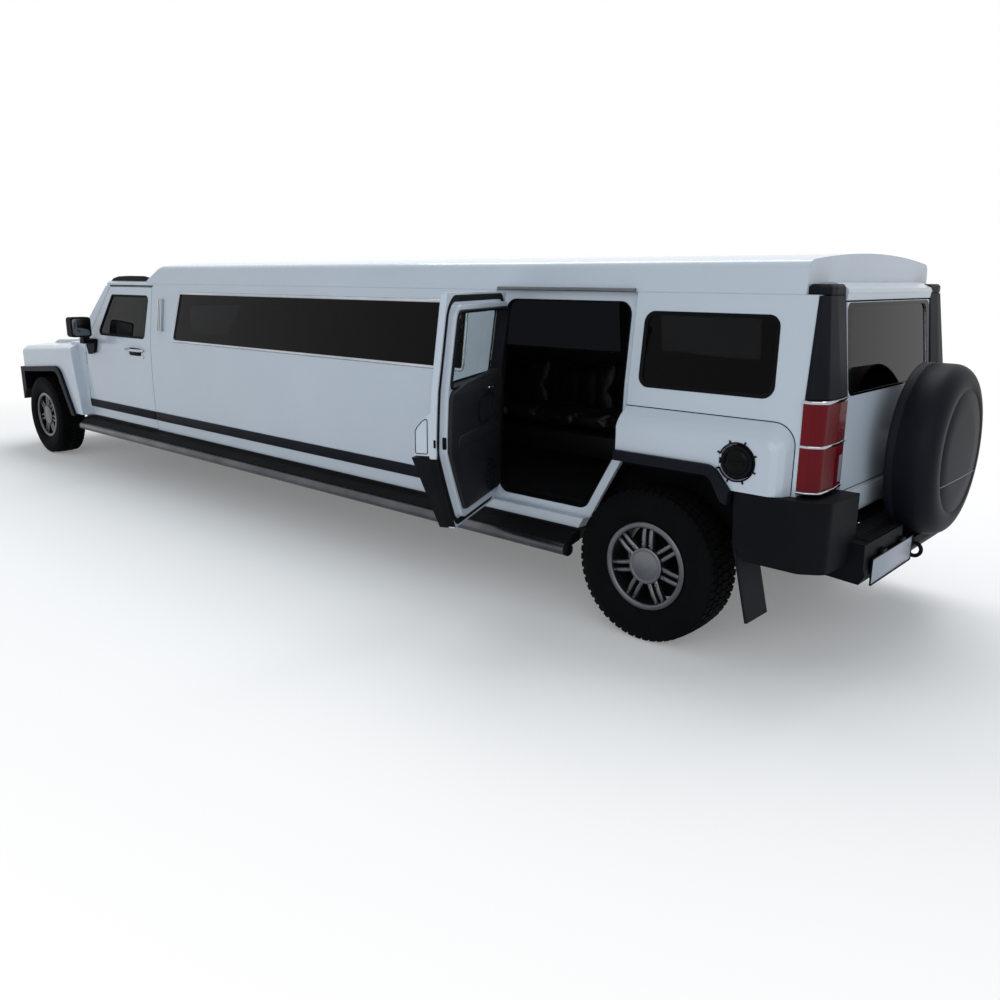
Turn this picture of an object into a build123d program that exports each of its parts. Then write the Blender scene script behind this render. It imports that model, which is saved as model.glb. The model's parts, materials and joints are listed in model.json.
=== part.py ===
from build123d import *
import math
import os

os.makedirs("parts", exist_ok=True)

# Layout in millimetres: X forward from mid wheelbase, Y to the left, Z up from the ground
WHEELBASE = 7360
TRACK = 1645
RX = -WHEELBASE / 2  # rear axle
FX = WHEELBASE / 2  # front axle

# Side wall section: (half width, height) at sill, waist, belt and eave
SILL_Y, SILL_Z = 850, 490
WAIST_Y, WAIST_Z = 864, 880
BELT_Y, BELT_Z = 852, 1285
EAVE_Y, EAVE_Z = 796, 1745
WALL = 70
DOOR_SKIN = 34
LAP_GAP = 6
DOOR_GAP = 6
JAMB = 42
INNER_GAP = 12
OPENING_CORNER = 112  # before the jamb's inset
SEAT_GAP = 0.3

# Glazing
GLASS_DEPTH = 8
GLASS = 5
CORNER = 35

# Hinges: barrel radius, barrel lengths and heights
BARREL_R = 9
BARREL_CLEAR = 1.5
MOVING_BARREL = 50
FIXED_BARREL = 30
DOOR_HINGE_Z = (700, 1040)
HINGE_Y = WAIST_Y + 2
OPEN_ANGLE = 65

# Wheels
TYRE_R = 398
TYRE_W = 265
RIM_R = 229
RIM_W = 224
SEAT_R = 217
BARREL_WALL = 12
HUB_R = 62
SPOKE_PAIRS = 7
SPOKE_W = 26
SPOKE_SPREAD = 21
DISC_R = 155
SPINDLE_R = 30
SPINDLE_FIT = 0.05
WHEEL_Y = TRACK / 2
HUB_Z = TYRE_R
KINGPIN_INSET = 162.5  # from the wheel's middle
KINGPIN_Y = WHEEL_Y - KINGPIN_INSET
KINGPIN_R = 25
KINGPIN_LOW, KINGPIN_HIGH = 320, 500

# Chassis
RAIL_IN, RAIL_OUT = 360, 440
RAIL_LOW, RAIL_HIGH = 480, 600
RAIL_REAR = RX - 770
RAIL_FRONT = FX + 650
CROSS_LOW, CROSS_HIGH, CROSS_W = 482, 520, 80
CROSS_PITCH = 800
FLOOR = 30
FLOOR_FRONT = FX - 840
INNER_SIDE = 792  # inboard limit of flares and bumper caps
FLOOR_REAR = RX - 695

# Roof
ROOF_TOE, ROOF_REAR = FX - 2140, RX - 665
ROOF_WALL = 60
ROOF_RISE = 187  # from the eaves to the crest
ROOF_CREST_Z = EAVE_Z + ROOF_RISE
ROOF_TOE_Z = EAVE_Z + 27
ROOF_SLOPE = 240 / 118
CAB_ROOF_FRONT = FX - 1385

# Doors and windows as (x, z) outlines on the left side
FRONT_DOOR_REAR, FRONT_DOOR_EDGE = FX - 2230, FX - 940
FRONT_DOOR_TOP = 1715
REAR_DOOR_EDGE, REAR_DOOR_REAR = RX + 1130, RX + 200
REAR_DOOR_LOW = 555
FRONT_DOOR = [
    (FRONT_DOOR_REAR, SILL_Z + DOOR_GAP),
    (FRONT_DOOR_REAR, FRONT_DOOR_TOP),
    (FX - 1450, FRONT_DOOR_TOP),
    (FX - 1000, 1215),
    (FRONT_DOOR_EDGE, 1150),
    (FRONT_DOOR_EDGE, SILL_Z + DOOR_GAP),
]
REAR_DOOR = [
    (REAR_DOOR_EDGE, REAR_DOOR_LOW),
    (REAR_DOOR_EDGE, EAVE_Z - DOOR_GAP),
    (REAR_DOOR_REAR, EAVE_Z - DOOR_GAP),
    (REAR_DOOR_REAR, 970),
    (RX + 435, REAR_DOOR_LOW),
]
FRONT_DOOR_WINDOW = [(FX - 2170, 1640), (FX - 1490, 1640), (FX - 1225, 1280), (FX - 2115, 1280)]
REAR_DOOR_WINDOW = [(RX + 1065, 1650), (RX + 275, 1650), (RX + 275, 1295), (RX + 1065, 1295)]
SIDE_WINDOW = [(RX + 1360, 1672), (FX - 2710, 1672), (FX - 2612, 1285), (RX + 1360, 1285)]
QUARTER_WINDOW = [(RX + 130, 1650), (RX - 560, 1650), (RX - 575, 1295), (RX + 130, 1295)]

# Rear wheel arch, tail and bulge
ARCH_TOP = 975
ARCH_SOFT = 95
BULGE_Y = 943
BULGE_LOW, BULGE_IN = 860, 800
TAIL_X = RX - 725
BUMPER_TOP = 868
CAP_EDGE_HIGH, CAP_EDGE_LOW = (RX - 456, 858), (RX - 480, 610)
FLARE_Y = 965
TAILGATE_HALF = 566
LAMP_IN = 578
LAMP_LOW, LAMP_HIGH = 885, 1300
TAILGATE_LOW, TAILGATE_HIGH = 712, 1712
TAILGATE_HINGE_X, TAILGATE_HINGE_Y = RX - 870, -600
TAILGATE_HINGE_Z = (960, 1230)
SPARE_R = 428  # hard cover
SPARE_RIGHT, SPARE_LOW = -570, 557  # edges that clear the hinge and the bumper
SPARE_Y, SPARE_Z = SPARE_RIGHT + SPARE_R, SPARE_LOW + SPARE_R
COVER_WALL = 12
SPARE_TYRE_R = SPARE_R - COVER_WALL - 18
SPARE_RIM_R = SPARE_TYRE_R - 178
FLAP_X, FLAP_Z, FLAP_R = RX - 470, 1003, 78

# Nose
NOSE_X = FX + 430
HOOD_REAR = FX - 752
HOOD_GAP = 8
HOOD_Z = 1200
HOOD_HALF = 634
FENDER_IN = 640
BUMPER_FRONT = FX + 720
GLASS_BASE, GLASS_TOP = (FX - 785, 1192), (FX - 1383, 1742)
COWL_Z = 1190
FIREWALL_REAR, FIREWALL_FRONT = FX - 840, FX - 800

# Cutting plane outboard of the left wall, facing inboard
SIDE_CUT_Y = 1300
SIDE_CUT = 720
OUTBOARD = Plane.XZ.offset(-SIDE_CUT_Y)

nodes = {}


def keep(name, part):
    """Label a finished piece and store it under its name."""
    part.label = name
    nodes[name] = part


def waist_circle():
    """Centre and radius of the arc through sill, waist and belt."""
    ax, ay = WAIST_Y - SILL_Y, WAIST_Z - SILL_Z
    bx, by = BELT_Y - SILL_Y, BELT_Z - SILL_Z
    twice = 2 * (ax * by - ay * bx)
    cx = (by * (ax**2 + ay**2) - ay * (bx**2 + by**2)) / twice
    cy = (ax * (bx**2 + by**2) - bx * (ax**2 + ay**2)) / twice
    return SILL_Y + cx, SILL_Z + cy, math.hypot(cx, cy)


def skin_y(z):
    """Half width of the outer skin at a height."""
    if z > BELT_Z:
        return BELT_Y + (EAVE_Y - BELT_Y) * (z - BELT_Z) / (EAVE_Z - BELT_Z)
    cy, cz, radius = waist_circle()
    return cy + math.sqrt(radius**2 - (z - cz) ** 2)


def side_layer(rear, front, outer, inner):
    """Left wall between two depths under the skin, from one X to another."""
    with BuildPart() as layer:
        with BuildSketch(Plane.YZ.offset(rear)):
            with BuildLine():
                low = ThreePointArc(
                    (SILL_Y - outer, SILL_Z), (WAIST_Y - outer, WAIST_Z), (BELT_Y - outer, BELT_Z)
                )
                high = Line(low @ 1, (EAVE_Y - outer, EAVE_Z))
                top = Line(high @ 1, (EAVE_Y - inner, EAVE_Z))
                back = Line(top @ 1, (BELT_Y - inner, BELT_Z))
                base = ThreePointArc(
                    back @ 1, (WAIST_Y - inner, WAIST_Z), (SILL_Y - inner, SILL_Z)
                )
                Line(base @ 1, low @ 0)
            make_face()
        extrude(amount=front - rear)
    return layer.part


def side_face(points, radii=0, grow=0):
    """Closed outline in (x, z) seen from the left, rounded and grown or shrunk."""
    with BuildSketch(OUTBOARD) as face:
        with BuildLine():
            FilletPolyline(*points, radius=radii, close=True)
        make_face()
        if grow:
            offset(amount=grow, kind=Kind.INTERSECTION)
    return face.sketch


def trimmed(blank, outline=None, cuts=()):
    """A wall blank kept inside one side outline and cut by others."""
    with BuildPart() as piece:
        add(blank)
        if outline is not None:
            extrude(outline, amount=SIDE_CUT, mode=Mode.INTERSECT)
        for cut in cuts:
            extrude(cut, amount=SIDE_CUT, mode=Mode.SUBTRACT)
    return piece.part


def box(x, y, z):
    """Solid between two values on each axis."""
    with BuildPart() as block:
        with BuildSketch(Plane.XY.offset(z[0])):
            with Locations(((x[0] + x[1]) / 2, (y[0] + y[1]) / 2)):
                Rectangle(x[1] - x[0], y[1] - y[0])
        extrude(amount=z[1] - z[0])
    return block.part


def slab(plane, points, amount, radii=0):
    """Polygon on a plane, extruded along its normal."""
    with BuildPart() as block:
        with BuildSketch(plane):
            with BuildLine():
                FilletPolyline(*points, radius=radii, close=True)
            make_face()
        extrude(amount=amount)
    return block.part


def rod(start, end, radius):
    """Round bar between two points."""
    axis = Vector(*end) - Vector(*start)
    with BuildPart() as bar:
        with BuildSketch(Plane(origin=start, z_dir=axis)):
            Circle(radius)
        extrude(amount=axis.length)
    return bar.part


def joined(*pieces):
    """Pieces that touch or overlap, as one solid."""
    with BuildPart() as whole:
        for piece in pieces:
            add(piece)
    return whole.part


def less(piece, *cuts):
    """A piece with others cut out of it."""
    with BuildPart() as rest:
        add(piece)
        for cut in cuts:
            add(cut, mode=Mode.SUBTRACT)
    return rest.part


def within(piece, *limits):
    """A piece kept inside others."""
    with BuildPart() as rest:
        add(piece)
        for limit in limits:
            add(limit, mode=Mode.INTERSECT)
    return rest.part


def pair(left):
    """The left piece with its mirrored right one."""
    with BuildPart() as both:
        add(left)
        mirror(about=Plane.XZ)
    return both.part


def right_of(left):
    """The mirrored right piece."""
    with BuildPart() as other:
        add(left)
        mirror(about=Plane.XZ, mode=Mode.REPLACE)
    return other.part


def barrels(axis_point, direction, places, moving):
    """Hinge barrels on one axis: the moving ones, or the fixed ones above and below them."""
    spans = []
    for place in places:
        half = MOVING_BARREL / 2
        if moving:
            spans.append((place - half, place + half))
        else:
            spans.append((place - half - SEAT_GAP - FIXED_BARREL, place - half - SEAT_GAP))
            spans.append((place + half + SEAT_GAP, place + half + SEAT_GAP + FIXED_BARREL))
    return [along(axis_point, direction, span) for span in spans]


def along(point, direction, span):
    """End points of a span on an axis."""
    base = Vector(*point)
    way = Vector(*direction)
    return base + way * span[0], base + way * span[1]


def hinged(moving_piece, fixed_piece, axis_point, direction, places):
    """Give two pieces the barrels of a shared hinge, each notched for the other's."""
    swing = [rod(a, b, BARREL_R) for a, b in barrels(axis_point, direction, places, True)]
    stay = [rod(a, b, BARREL_R) for a, b in barrels(axis_point, direction, places, False)]
    wide = BARREL_R + BARREL_CLEAR
    extra = Vector(*direction) * SEAT_GAP
    swing_room = [
        rod(a - extra, b + extra, wide) for a, b in barrels(axis_point, direction, places, True)
    ]
    stay_room = [
        rod(a - extra, b + extra, wide) for a, b in barrels(axis_point, direction, places, False)
    ]
    mover = joined(less(moving_piece, *stay_room), *swing)
    holder = joined(less(fixed_piece, *swing_room), *stay)
    return mover, holder


def door_blank(outline, window):
    """Door with an outer skin layer, a smaller inner box and its window cut."""
    xs = [x for x, z in outline]
    rear, front = min(xs) - 1, max(xs) + 1
    skin = trimmed(side_layer(rear, front, 0, DOOR_SKIN), side_face(outline))
    core = trimmed(
        side_layer(rear, front, DOOR_SKIN, WALL),
        side_face(outline, OPENING_CORNER, -(JAMB + INNER_GAP)),
    )
    return trimmed(joined(skin, core), None, [side_face(window, CORNER)])


def door_frame(outline):
    """Jamb ring that the closed door laps over."""
    xs = [x for x, z in outline]
    rear, front = min(xs) - 2 * DOOR_GAP, max(xs) + 2 * DOOR_GAP
    blank = side_layer(rear, front, DOOR_SKIN + LAP_GAP, WALL)
    return trimmed(
        blank, side_face(outline, 0, DOOR_GAP), [side_face(outline, OPENING_CORNER, -JAMB)]
    )


def pane(window, radius=CORNER):
    """Glass in a side window, clear of its rebate."""
    xs = [x for x, z in window]
    blank = side_layer(min(xs), max(xs), GLASS_DEPTH, GLASS_DEPTH + GLASS)
    return trimmed(blank, side_face(window, radius, -SEAT_GAP))


# Side panels between the front and rear doors
side_blank = side_layer(REAR_DOOR_EDGE + DOOR_GAP, FRONT_DOOR_REAR - DOOR_GAP, 0, WALL)
side_panel = trimmed(side_blank, None, [side_face(SIDE_WINDOW, CORNER)])

# Rear quarter: wall, box bulge over the wheel and the return wall beside the tailgate
QUARTER = [
    (REAR_DOOR_REAR - DOOR_GAP, EAVE_Z),
    (REAR_DOOR_REAR - DOOR_GAP, ARCH_TOP),
    (RX - 364, ARCH_TOP),
    (RX - 452, BUMPER_TOP),
    (TAIL_X, BUMPER_TOP),
    (TAIL_X, EAVE_Z),
]
QUARTER_RADII = [0, 0, ARCH_SOFT, 0, 0, 0]
QUARTER_CORNER = 50
BULGE_LEVELS = [  # half width, top, set-in of the rear end, rear corner radius
    (BULGE_IN, 1202, 18, 110),
    (848, 1195, 20, 108),
    (905, 1150, 44, 84),
    (930, 1122, 66, 62),
    (BULGE_Y, 1098, 95, 40),
]
quarter_wall = trimmed(
    side_layer(TAIL_X, REAR_DOOR_REAR - DOOR_GAP, 0, WALL),
    side_face(QUARTER, QUARTER_RADII),
    [side_face(QUARTER_WINDOW, QUARTER_CORNER)],
)
bulge_faces = []
for half, top, set_in, corner in BULGE_LEVELS:
    with BuildSketch(Plane.XZ.offset(-half)) as bulge_face:
        with BuildLine():
            FilletPolyline(
                (REAR_DOOR_REAR, BULGE_LOW),
                (REAR_DOOR_REAR, top),
                (TAIL_X + set_in, top),
                (TAIL_X + set_in, BULGE_LOW),
                radius=[0, 0, corner, 0],
                close=True,
            )
        make_face()
    bulge_faces.append(bulge_face.sketch)
with BuildPart() as bulge_loft:
    loft(bulge_faces, ruled=True)
bulge = trimmed(bulge_loft.part, side_face(QUARTER, QUARTER_RADII))
BULGE_SECTION = [(BULGE_IN, BULGE_LOW)]
BULGE_SECTION += [(half, top) for half, top, set_in, corner in BULGE_LEVELS]
BULGE_SECTION += [(BULGE_Y, BULGE_LOW)]
RETURN_WALL = [
    (LAMP_IN, 720),
    (INNER_SIDE - 4, 720),
    (INNER_SIDE - 4, BUMPER_TOP),
    (815, BUMPER_TOP),
    (815, BELT_Z),
    (760, EAVE_Z),
    (LAMP_IN, EAVE_Z),
]
tail_return = slab(Plane.YZ.offset(TAIL_X), RETURN_WALL, FLOOR)
quarter = joined(quarter_wall, bulge, tail_return)

# Fuel flap in a round recess of the left bulge, hinged at its front edge
flap_plane = Plane.XZ.offset(-BULGE_Y)
FLAP_DEPTH = 14
FLAP_GAP = 6
FLAP_RECESS = 24
FLAP_BARREL_R = 5
flap_axis = (FLAP_X + FLAP_R + FLAP_GAP / 2, BULGE_Y + 2, 0)
with BuildPart() as flap_hole:
    with BuildSketch(flap_plane):
        with Locations((FLAP_X, FLAP_Z)):
            Circle(FLAP_R + FLAP_GAP)
    extrude(amount=FLAP_RECESS)
with BuildPart() as flap_disc:
    with BuildSketch(Plane.XZ.offset(-BULGE_Y - 4)):
        with Locations((FLAP_X, FLAP_Z)):
            Circle(FLAP_R)
    extrude(amount=FLAP_DEPTH)
    chamfer(flap_disc.faces().sort_by(Axis.Y)[-1].edges(), 3)
flap_swing = rod(
    (flap_axis[0], flap_axis[1], FLAP_Z - 14), (flap_axis[0], flap_axis[1], FLAP_Z + 14), FLAP_BARREL_R
)
flap_low = rod(
    (flap_axis[0], flap_axis[1], FLAP_Z - 30),
    (flap_axis[0], flap_axis[1], FLAP_Z - 14 - SEAT_GAP),
    FLAP_BARREL_R,
)
flap_high = rod(
    (flap_axis[0], flap_axis[1], FLAP_Z + 14 + SEAT_GAP),
    (flap_axis[0], flap_axis[1], FLAP_Z + 30),
    FLAP_BARREL_R,
)
flap_room = rod(
    (flap_axis[0], flap_axis[1], FLAP_Z - 14 - SEAT_GAP),
    (flap_axis[0], flap_axis[1], FLAP_Z + 14 + SEAT_GAP),
    FLAP_BARREL_R + 1,
)
flap_post_rooms = [
    rod((flap_axis[0], flap_axis[1], low), (flap_axis[0], flap_axis[1], high), FLAP_BARREL_R + 1)
    for low, high in ((FLAP_Z - 31, FLAP_Z - 14), (FLAP_Z + 14, FLAP_Z + 31))
]
keep("fuel_flap", joined(less(flap_disc.part, *flap_post_rooms), flap_swing))
# Filler neck behind the flap
filler_neck = rod((FLAP_X, BULGE_Y - FLAP_RECESS - 10, FLAP_Z), (FLAP_X, BULGE_Y - 14, FLAP_Z), 32)
quarter_left = joined(less(quarter, flap_hole.part, flap_room), flap_low, flap_high, filler_neck)
quarter_right = right_of(quarter)

# Front fender: side strip beside the door, sloping box bulge, shelf and closed nose cap
FENDER_SECTIONS = [  # x, inner top, outer top
    (FX - 934, 1186, 1136),
    (NOSE_X, 1108, 1046),
]
BOX_Y = 938
FENDER_WALL = 42
FENDER_CROWN, FENDER_DROP = 880, 18
SHOULDER_SOFT, EDGE_SOFT = 60, 45


def fender_shell(inside):
    """Fender from its rear section to the nose, hollow inboard of one half width."""
    faces = []
    for x, inner_top, outer_top in FENDER_SECTIONS:
        with BuildSketch(Plane.YZ.offset(x)) as face:
            with BuildLine():
                FilletPolyline(
                    (FENDER_IN, inner_top),
                    (FENDER_CROWN, inner_top - FENDER_DROP),
                    (BOX_Y, outer_top),
                    (BOX_Y, SILL_Z),
                    (inside, SILL_Z),
                    (inside, outer_top - FENDER_WALL),
                    (FENDER_IN, inner_top - FENDER_WALL),
                    radius=[0, SHOULDER_SOFT, EDGE_SOFT, 0, 0, 0, 0],
                    close=True,
                )
            make_face()
        faces.append(face.sketch)
    with BuildPart() as shell:
        loft(faces, ruled=True)
    return shell.part


ARCH_REAR, ARCH_FRONT_Z, ARCH_REAR_Z = FX - 478, 870, 938
ARCH_FOOT, ARCH_LOW = FX - 764, SILL_Z - 20
ARCH_ROUND = 170
ARCH_PAST = 30
arch_rise = (ARCH_REAR_Z - ARCH_FRONT_Z) / (NOSE_X - ARCH_REAR)
FRONT_ARCH = [
    (NOSE_X + ARCH_PAST, ARCH_LOW),
    (NOSE_X + ARCH_PAST, ARCH_FRONT_Z - arch_rise * ARCH_PAST),
    (ARCH_REAR, ARCH_REAR_Z),
    (ARCH_FOOT, ARCH_LOW),
]
BOX_HIGH, BOX_LOW = (FX - 735, 1250), (FX - 905, SILL_Z)
BOX_OUTLINE = [(NOSE_X, SILL_Z), (NOSE_X, BOX_HIGH[1]), BOX_HIGH, BOX_LOW]
END_W = 52
BOX_END = [
    BOX_HIGH,
    (BOX_HIGH[0] + END_W, BOX_HIGH[1]),
    (BOX_LOW[0] + END_W, BOX_LOW[1]),
    BOX_LOW,
]
fender_box = trimmed(fender_shell(BOX_Y - FENDER_WALL), side_face(BOX_OUTLINE))
box_end = trimmed(fender_shell(SILL_Y - WALL / 2), side_face(BOX_END))
FENDER_REAR = FRONT_DOOR_EDGE + DOOR_GAP
strip_blank = side_layer(FENDER_REAR, FX - 600, 0, WALL)
strip = trimmed(
    strip_blank,
    side_face([(FENDER_REAR, SILL_Z), (FENDER_REAR, COWL_Z), (FX - 600, 1150), (FX - 600, SILL_Z)]),
)
shelf = box(
    (FIREWALL_FRONT, FX - 600), (FENDER_IN, skin_y(COWL_Z) - 4), (COWL_Z - 60, COWL_Z - 8)
)
nose_in, nose_out = FENDER_SECTIONS[-1][1:]
NOSE_CAP = [
    (FENDER_IN, BUMPER_TOP),
    (BOX_Y, BUMPER_TOP),
    (BOX_Y, nose_out),
    (FENDER_CROWN, nose_in - FENDER_DROP),
    (FENDER_IN, nose_in),
]
nose_cap = slab(
    Plane.YZ.offset(NOSE_X - FENDER_WALL), NOSE_CAP, FENDER_WALL, [0, 0, EDGE_SOFT, SHOULDER_SOFT, 0]
)
fender = trimmed(
    joined(fender_box, box_end, strip, shelf, nose_cap),
    None,
    [side_face(FRONT_ARCH, [0, 0, ARCH_ROUND, 0])],
)

# Rockers under the doors and panels, with a raised sill under each rear door
ROCKER_LOW = 425
rocker_low = box((RX + 480, FX - 770), (SILL_Y - WALL, SILL_Y - 6), (ROCKER_LOW, SILL_Z))
rear_sill = trimmed(
    side_layer(RX + 440, REAR_DOOR_EDGE + DOOR_GAP, 0, WALL),
    side_face(
        [
            (RX + 480, SILL_Z),
            (REAR_DOOR_EDGE + DOOR_GAP, SILL_Z),
            (REAR_DOOR_EDGE + DOOR_GAP, REAR_DOOR_LOW - DOOR_GAP),
            (RX + 446, REAR_DOOR_LOW - DOOR_GAP),
        ]
    ),
)
keep("rockers", pair(joined(rocker_low, rear_sill)))

# Doors with hinge barrels shared with the panels ahead of them
FRONT_AXIS = (FRONT_DOOR_EDGE + DOOR_GAP / 2, HINGE_Y, 0)
REAR_AXIS = (REAR_DOOR_EDGE + DOOR_GAP / 2, HINGE_Y, 0)
UP = (0, 0, 1)
front_door, fender = hinged(
    door_blank(FRONT_DOOR, FRONT_DOOR_WINDOW), fender, FRONT_AXIS, UP, DOOR_HINGE_Z
)
DOOR_BULGE_PLAN = [
    (REAR_DOOR_REAR, 820),
    (REAR_DOOR_REAR, BULGE_Y + 20),
    (REAR_DOOR_REAR + 75, BULGE_Y + 20),
    (REAR_DOOR_REAR + 190, 820),
]
door_bulge_blank = slab(Plane.YZ.offset(REAR_DOOR_REAR), BULGE_SECTION, 250)
door_bulge = within(door_bulge_blank, slab(Plane.XY.offset(ARCH_TOP), DOOR_BULGE_PLAN, 300))
door_bulge = less(door_bulge, box((REAR_DOOR_REAR - 9, REAR_DOOR_REAR + 300), (700, 828), (800, 1300)))
rear_blank = joined(door_blank(REAR_DOOR, REAR_DOOR_WINDOW), door_bulge)
rear_door, side_panel = hinged(rear_blank, side_panel, REAR_AXIS, UP, DOOR_HINGE_Z)
keep("side_panels", pair(side_panel))
keep("front_fenders", pair(fender))

open_axis = Axis(REAR_AXIS, UP)


def opened(part):
    """A closed left rear door piece swung to the angle at which it stands."""
    return part.rotate(open_axis, -OPEN_ANGLE)


keep("door_front_left", front_door)
keep("door_front_right", right_of(front_door))
keep("door_rear_left", opened(rear_door))
keep("door_rear_right", right_of(rear_door))
front_glass = pane(FRONT_DOOR_WINDOW)
rear_glass = pane(REAR_DOOR_WINDOW)
keep("glass_front_left", front_glass)
keep("glass_front_right", right_of(front_glass))
keep("glass_rear_left", opened(rear_glass))
keep("glass_rear_right", right_of(rear_glass))
side_pane = pane(SIDE_WINDOW)
quarter_pane = pane(QUARTER_WINDOW, QUARTER_CORNER)
with BuildPart() as fixed_panes:
    add(side_pane)
    add(quarter_pane)
    mirror(about=Plane.XZ)
keep("fixed_windows", fixed_panes.part)

# Black flare along the rear door's lower corner
DOOR_FLARE_W = 62
DOOR_FLARE = [
    (REAR_DOOR_REAR + 4, 962),
    (REAR_DOOR_REAR + 4 + DOOR_FLARE_W, 962),
    (RX + 437 + DOOR_FLARE_W, REAR_DOOR_LOW),
    (RX + 437, REAR_DOOR_LOW),
]
FLARE_THIN = 905  # half width at the door's lower edge
FLARE_TAPER = [
    (BULGE_IN, REAR_DOOR_LOW - 5),
    (FLARE_THIN, REAR_DOOR_LOW - 5),
    (FLARE_Y - 6, 970),
    (BULGE_IN, 970),
]
flare_blank = side_layer(REAR_DOOR_REAR, RX + 520, -(FLARE_Y - WAIST_Y), -SEAT_GAP)
flare_taper = slab(Plane.YZ.offset(REAR_DOOR_REAR), FLARE_TAPER, 400)
door_flare = trimmed(within(flare_blank, flare_taper), side_face(DOOR_FLARE))
keep("door_flare_left", opened(door_flare))
keep("door_flare_right", right_of(door_flare))

# Jamb rings behind the doors
front_frame = door_frame(FRONT_DOOR)
rear_frame = door_frame(REAR_DOOR)
with BuildPart() as frames:
    add(front_frame)
    add(rear_frame)
    mirror(about=Plane.XZ)
keep("door_frames", frames.part)

# Door mirrors: foot on the door, arm and square head
MIRROR_FOOT = [
    (FX - 1215, 1235),
    (FX - 1075, 1235),
    (FX - 1020, 1165),
    (FX - 1060, 1085),
    (FX - 1180, 1110),
]
HEAD_X, HEAD_Y, HEAD_Z = (FX - 1300, FX - 1190), (945, 1128), (1262, 1442)
foot = trimmed(side_layer(FX - 1240, FX - 1000, -30, -SEAT_GAP), side_face(MIRROR_FOOT, 15))
arm = box((FX - 1205, FX - 1120), (868, 985), (1195, 1232))
neck = box((FX - 1260, FX - 1195), (950, 1010), (1200, 1275))
arm_link = box((FX - 1240, FX - 1150), (930, 985), (1198, 1230))
head_block = box(HEAD_X, HEAD_Y, HEAD_Z)
with BuildPart() as head:
    add(head_block)
    fillet(head.edges().filter_by(Axis.X), 26)
    chamfer(head.faces().sort_by(Axis.X)[-1].edges(), 14)
mirror_left = joined(foot, arm, arm_link, neck, head.part)
keep("mirror_left", mirror_left)
keep("mirror_right", right_of(mirror_left))

# Coach lamp of three upright bars on the panel behind the front door
LAMP_X, LAMP_Z = FX - 2420, (1356, 1623)
LAMP_BAR_HALF, LAMP_BAR_PITCH = 9, 26


def lamp_face(middle, half, radius):
    """Upright rounded strip of the coach lamp."""
    low, high = LAMP_Z
    corners = [(middle - half, low), (middle - half, high), (middle + half, high), (middle + half, low)]
    return side_face(corners, radius)


lamp_blank = side_layer(LAMP_X - 60, LAMP_X + 60, -26, -12)
coach_plate = trimmed(
    side_layer(LAMP_X - 60, LAMP_X + 60, -14, -SEAT_GAP), lamp_face(LAMP_X, 35, 12)
)
lamp_bars = [
    trimmed(lamp_blank, lamp_face(LAMP_X + shift, LAMP_BAR_HALF, 6))
    for shift in (-LAMP_BAR_PITCH, 0, LAMP_BAR_PITCH)
]
coach_lamp = joined(coach_plate, *lamp_bars)
keep("coach_lamps", pair(coach_lamp))

# Raised roof with sloped front, hollow, with an eave lip ahead and a visor over the tailgate
ROOF_SIDE = (EAVE_Y - 16, EAVE_Z + ROOF_RISE * 0.56)
ROOF_TURN = (EAVE_Y - 28, EAVE_Z + ROOF_RISE * 0.72)
CREST_SIDE = (EAVE_Y - 58, EAVE_Z + ROOF_RISE * 0.797)
with BuildPart() as roof_outer:
    with BuildSketch(Plane.YZ.offset(ROOF_REAR)):
        with BuildLine():
            left_wall = Line((EAVE_Y, EAVE_Z), ROOF_SIDE)
            left_arc = ThreePointArc(left_wall @ 1, ROOF_TURN, CREST_SIDE)
            crown = ThreePointArc(left_arc @ 1, (0, ROOF_CREST_Z), (-CREST_SIDE[0], CREST_SIDE[1]))
            right_turn = (-ROOF_TURN[0], ROOF_TURN[1])
            right_arc = ThreePointArc(crown @ 1, right_turn, (-ROOF_SIDE[0], ROOF_SIDE[1]))
            right_wall = Line(right_arc @ 1, (-EAVE_Y, EAVE_Z))
            Line(right_wall @ 1, left_wall @ 0)
        make_face()
    extrude(amount=ROOF_TOE - ROOF_REAR)
inner_half = EAVE_Y - WALL
INNER_EDGE_Z = ROOF_CREST_Z - ROOF_WALL - 37
with BuildPart() as roof_inner:
    with BuildSketch(Plane.YZ.offset(ROOF_REAR + ROOF_WALL)):
        with BuildLine():
            in_left = Line((inner_half, EAVE_Z - 5), (inner_half - 8, INNER_EDGE_Z))
            in_top = (0, ROOF_CREST_Z - ROOF_WALL)
            in_crown = ThreePointArc(in_left @ 1, in_top, (8 - inner_half, INNER_EDGE_Z))
            in_right = Line(in_crown @ 1, (-inner_half, EAVE_Z - 5))
            Line(in_right @ 1, in_left @ 0)
        make_face()
    extrude(amount=ROOF_TOE - 70 - ROOF_REAR - ROOF_WALL)


def roof_slope(shift):
    """Wedge above the roof's sloped front, moved back by a shift."""
    rise = ROOF_RISE + 3
    toe = ROOF_TOE - shift
    points = [
        (toe, ROOF_TOE_Z),
        (toe - rise * ROOF_SLOPE, ROOF_TOE_Z + rise),
        (ROOF_TOE + 100, ROOF_TOE_Z + rise),
        (ROOF_TOE + 100, ROOF_TOE_Z),
    ]
    return slab(Plane.XZ.offset(-1000), points, 2000)


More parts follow.
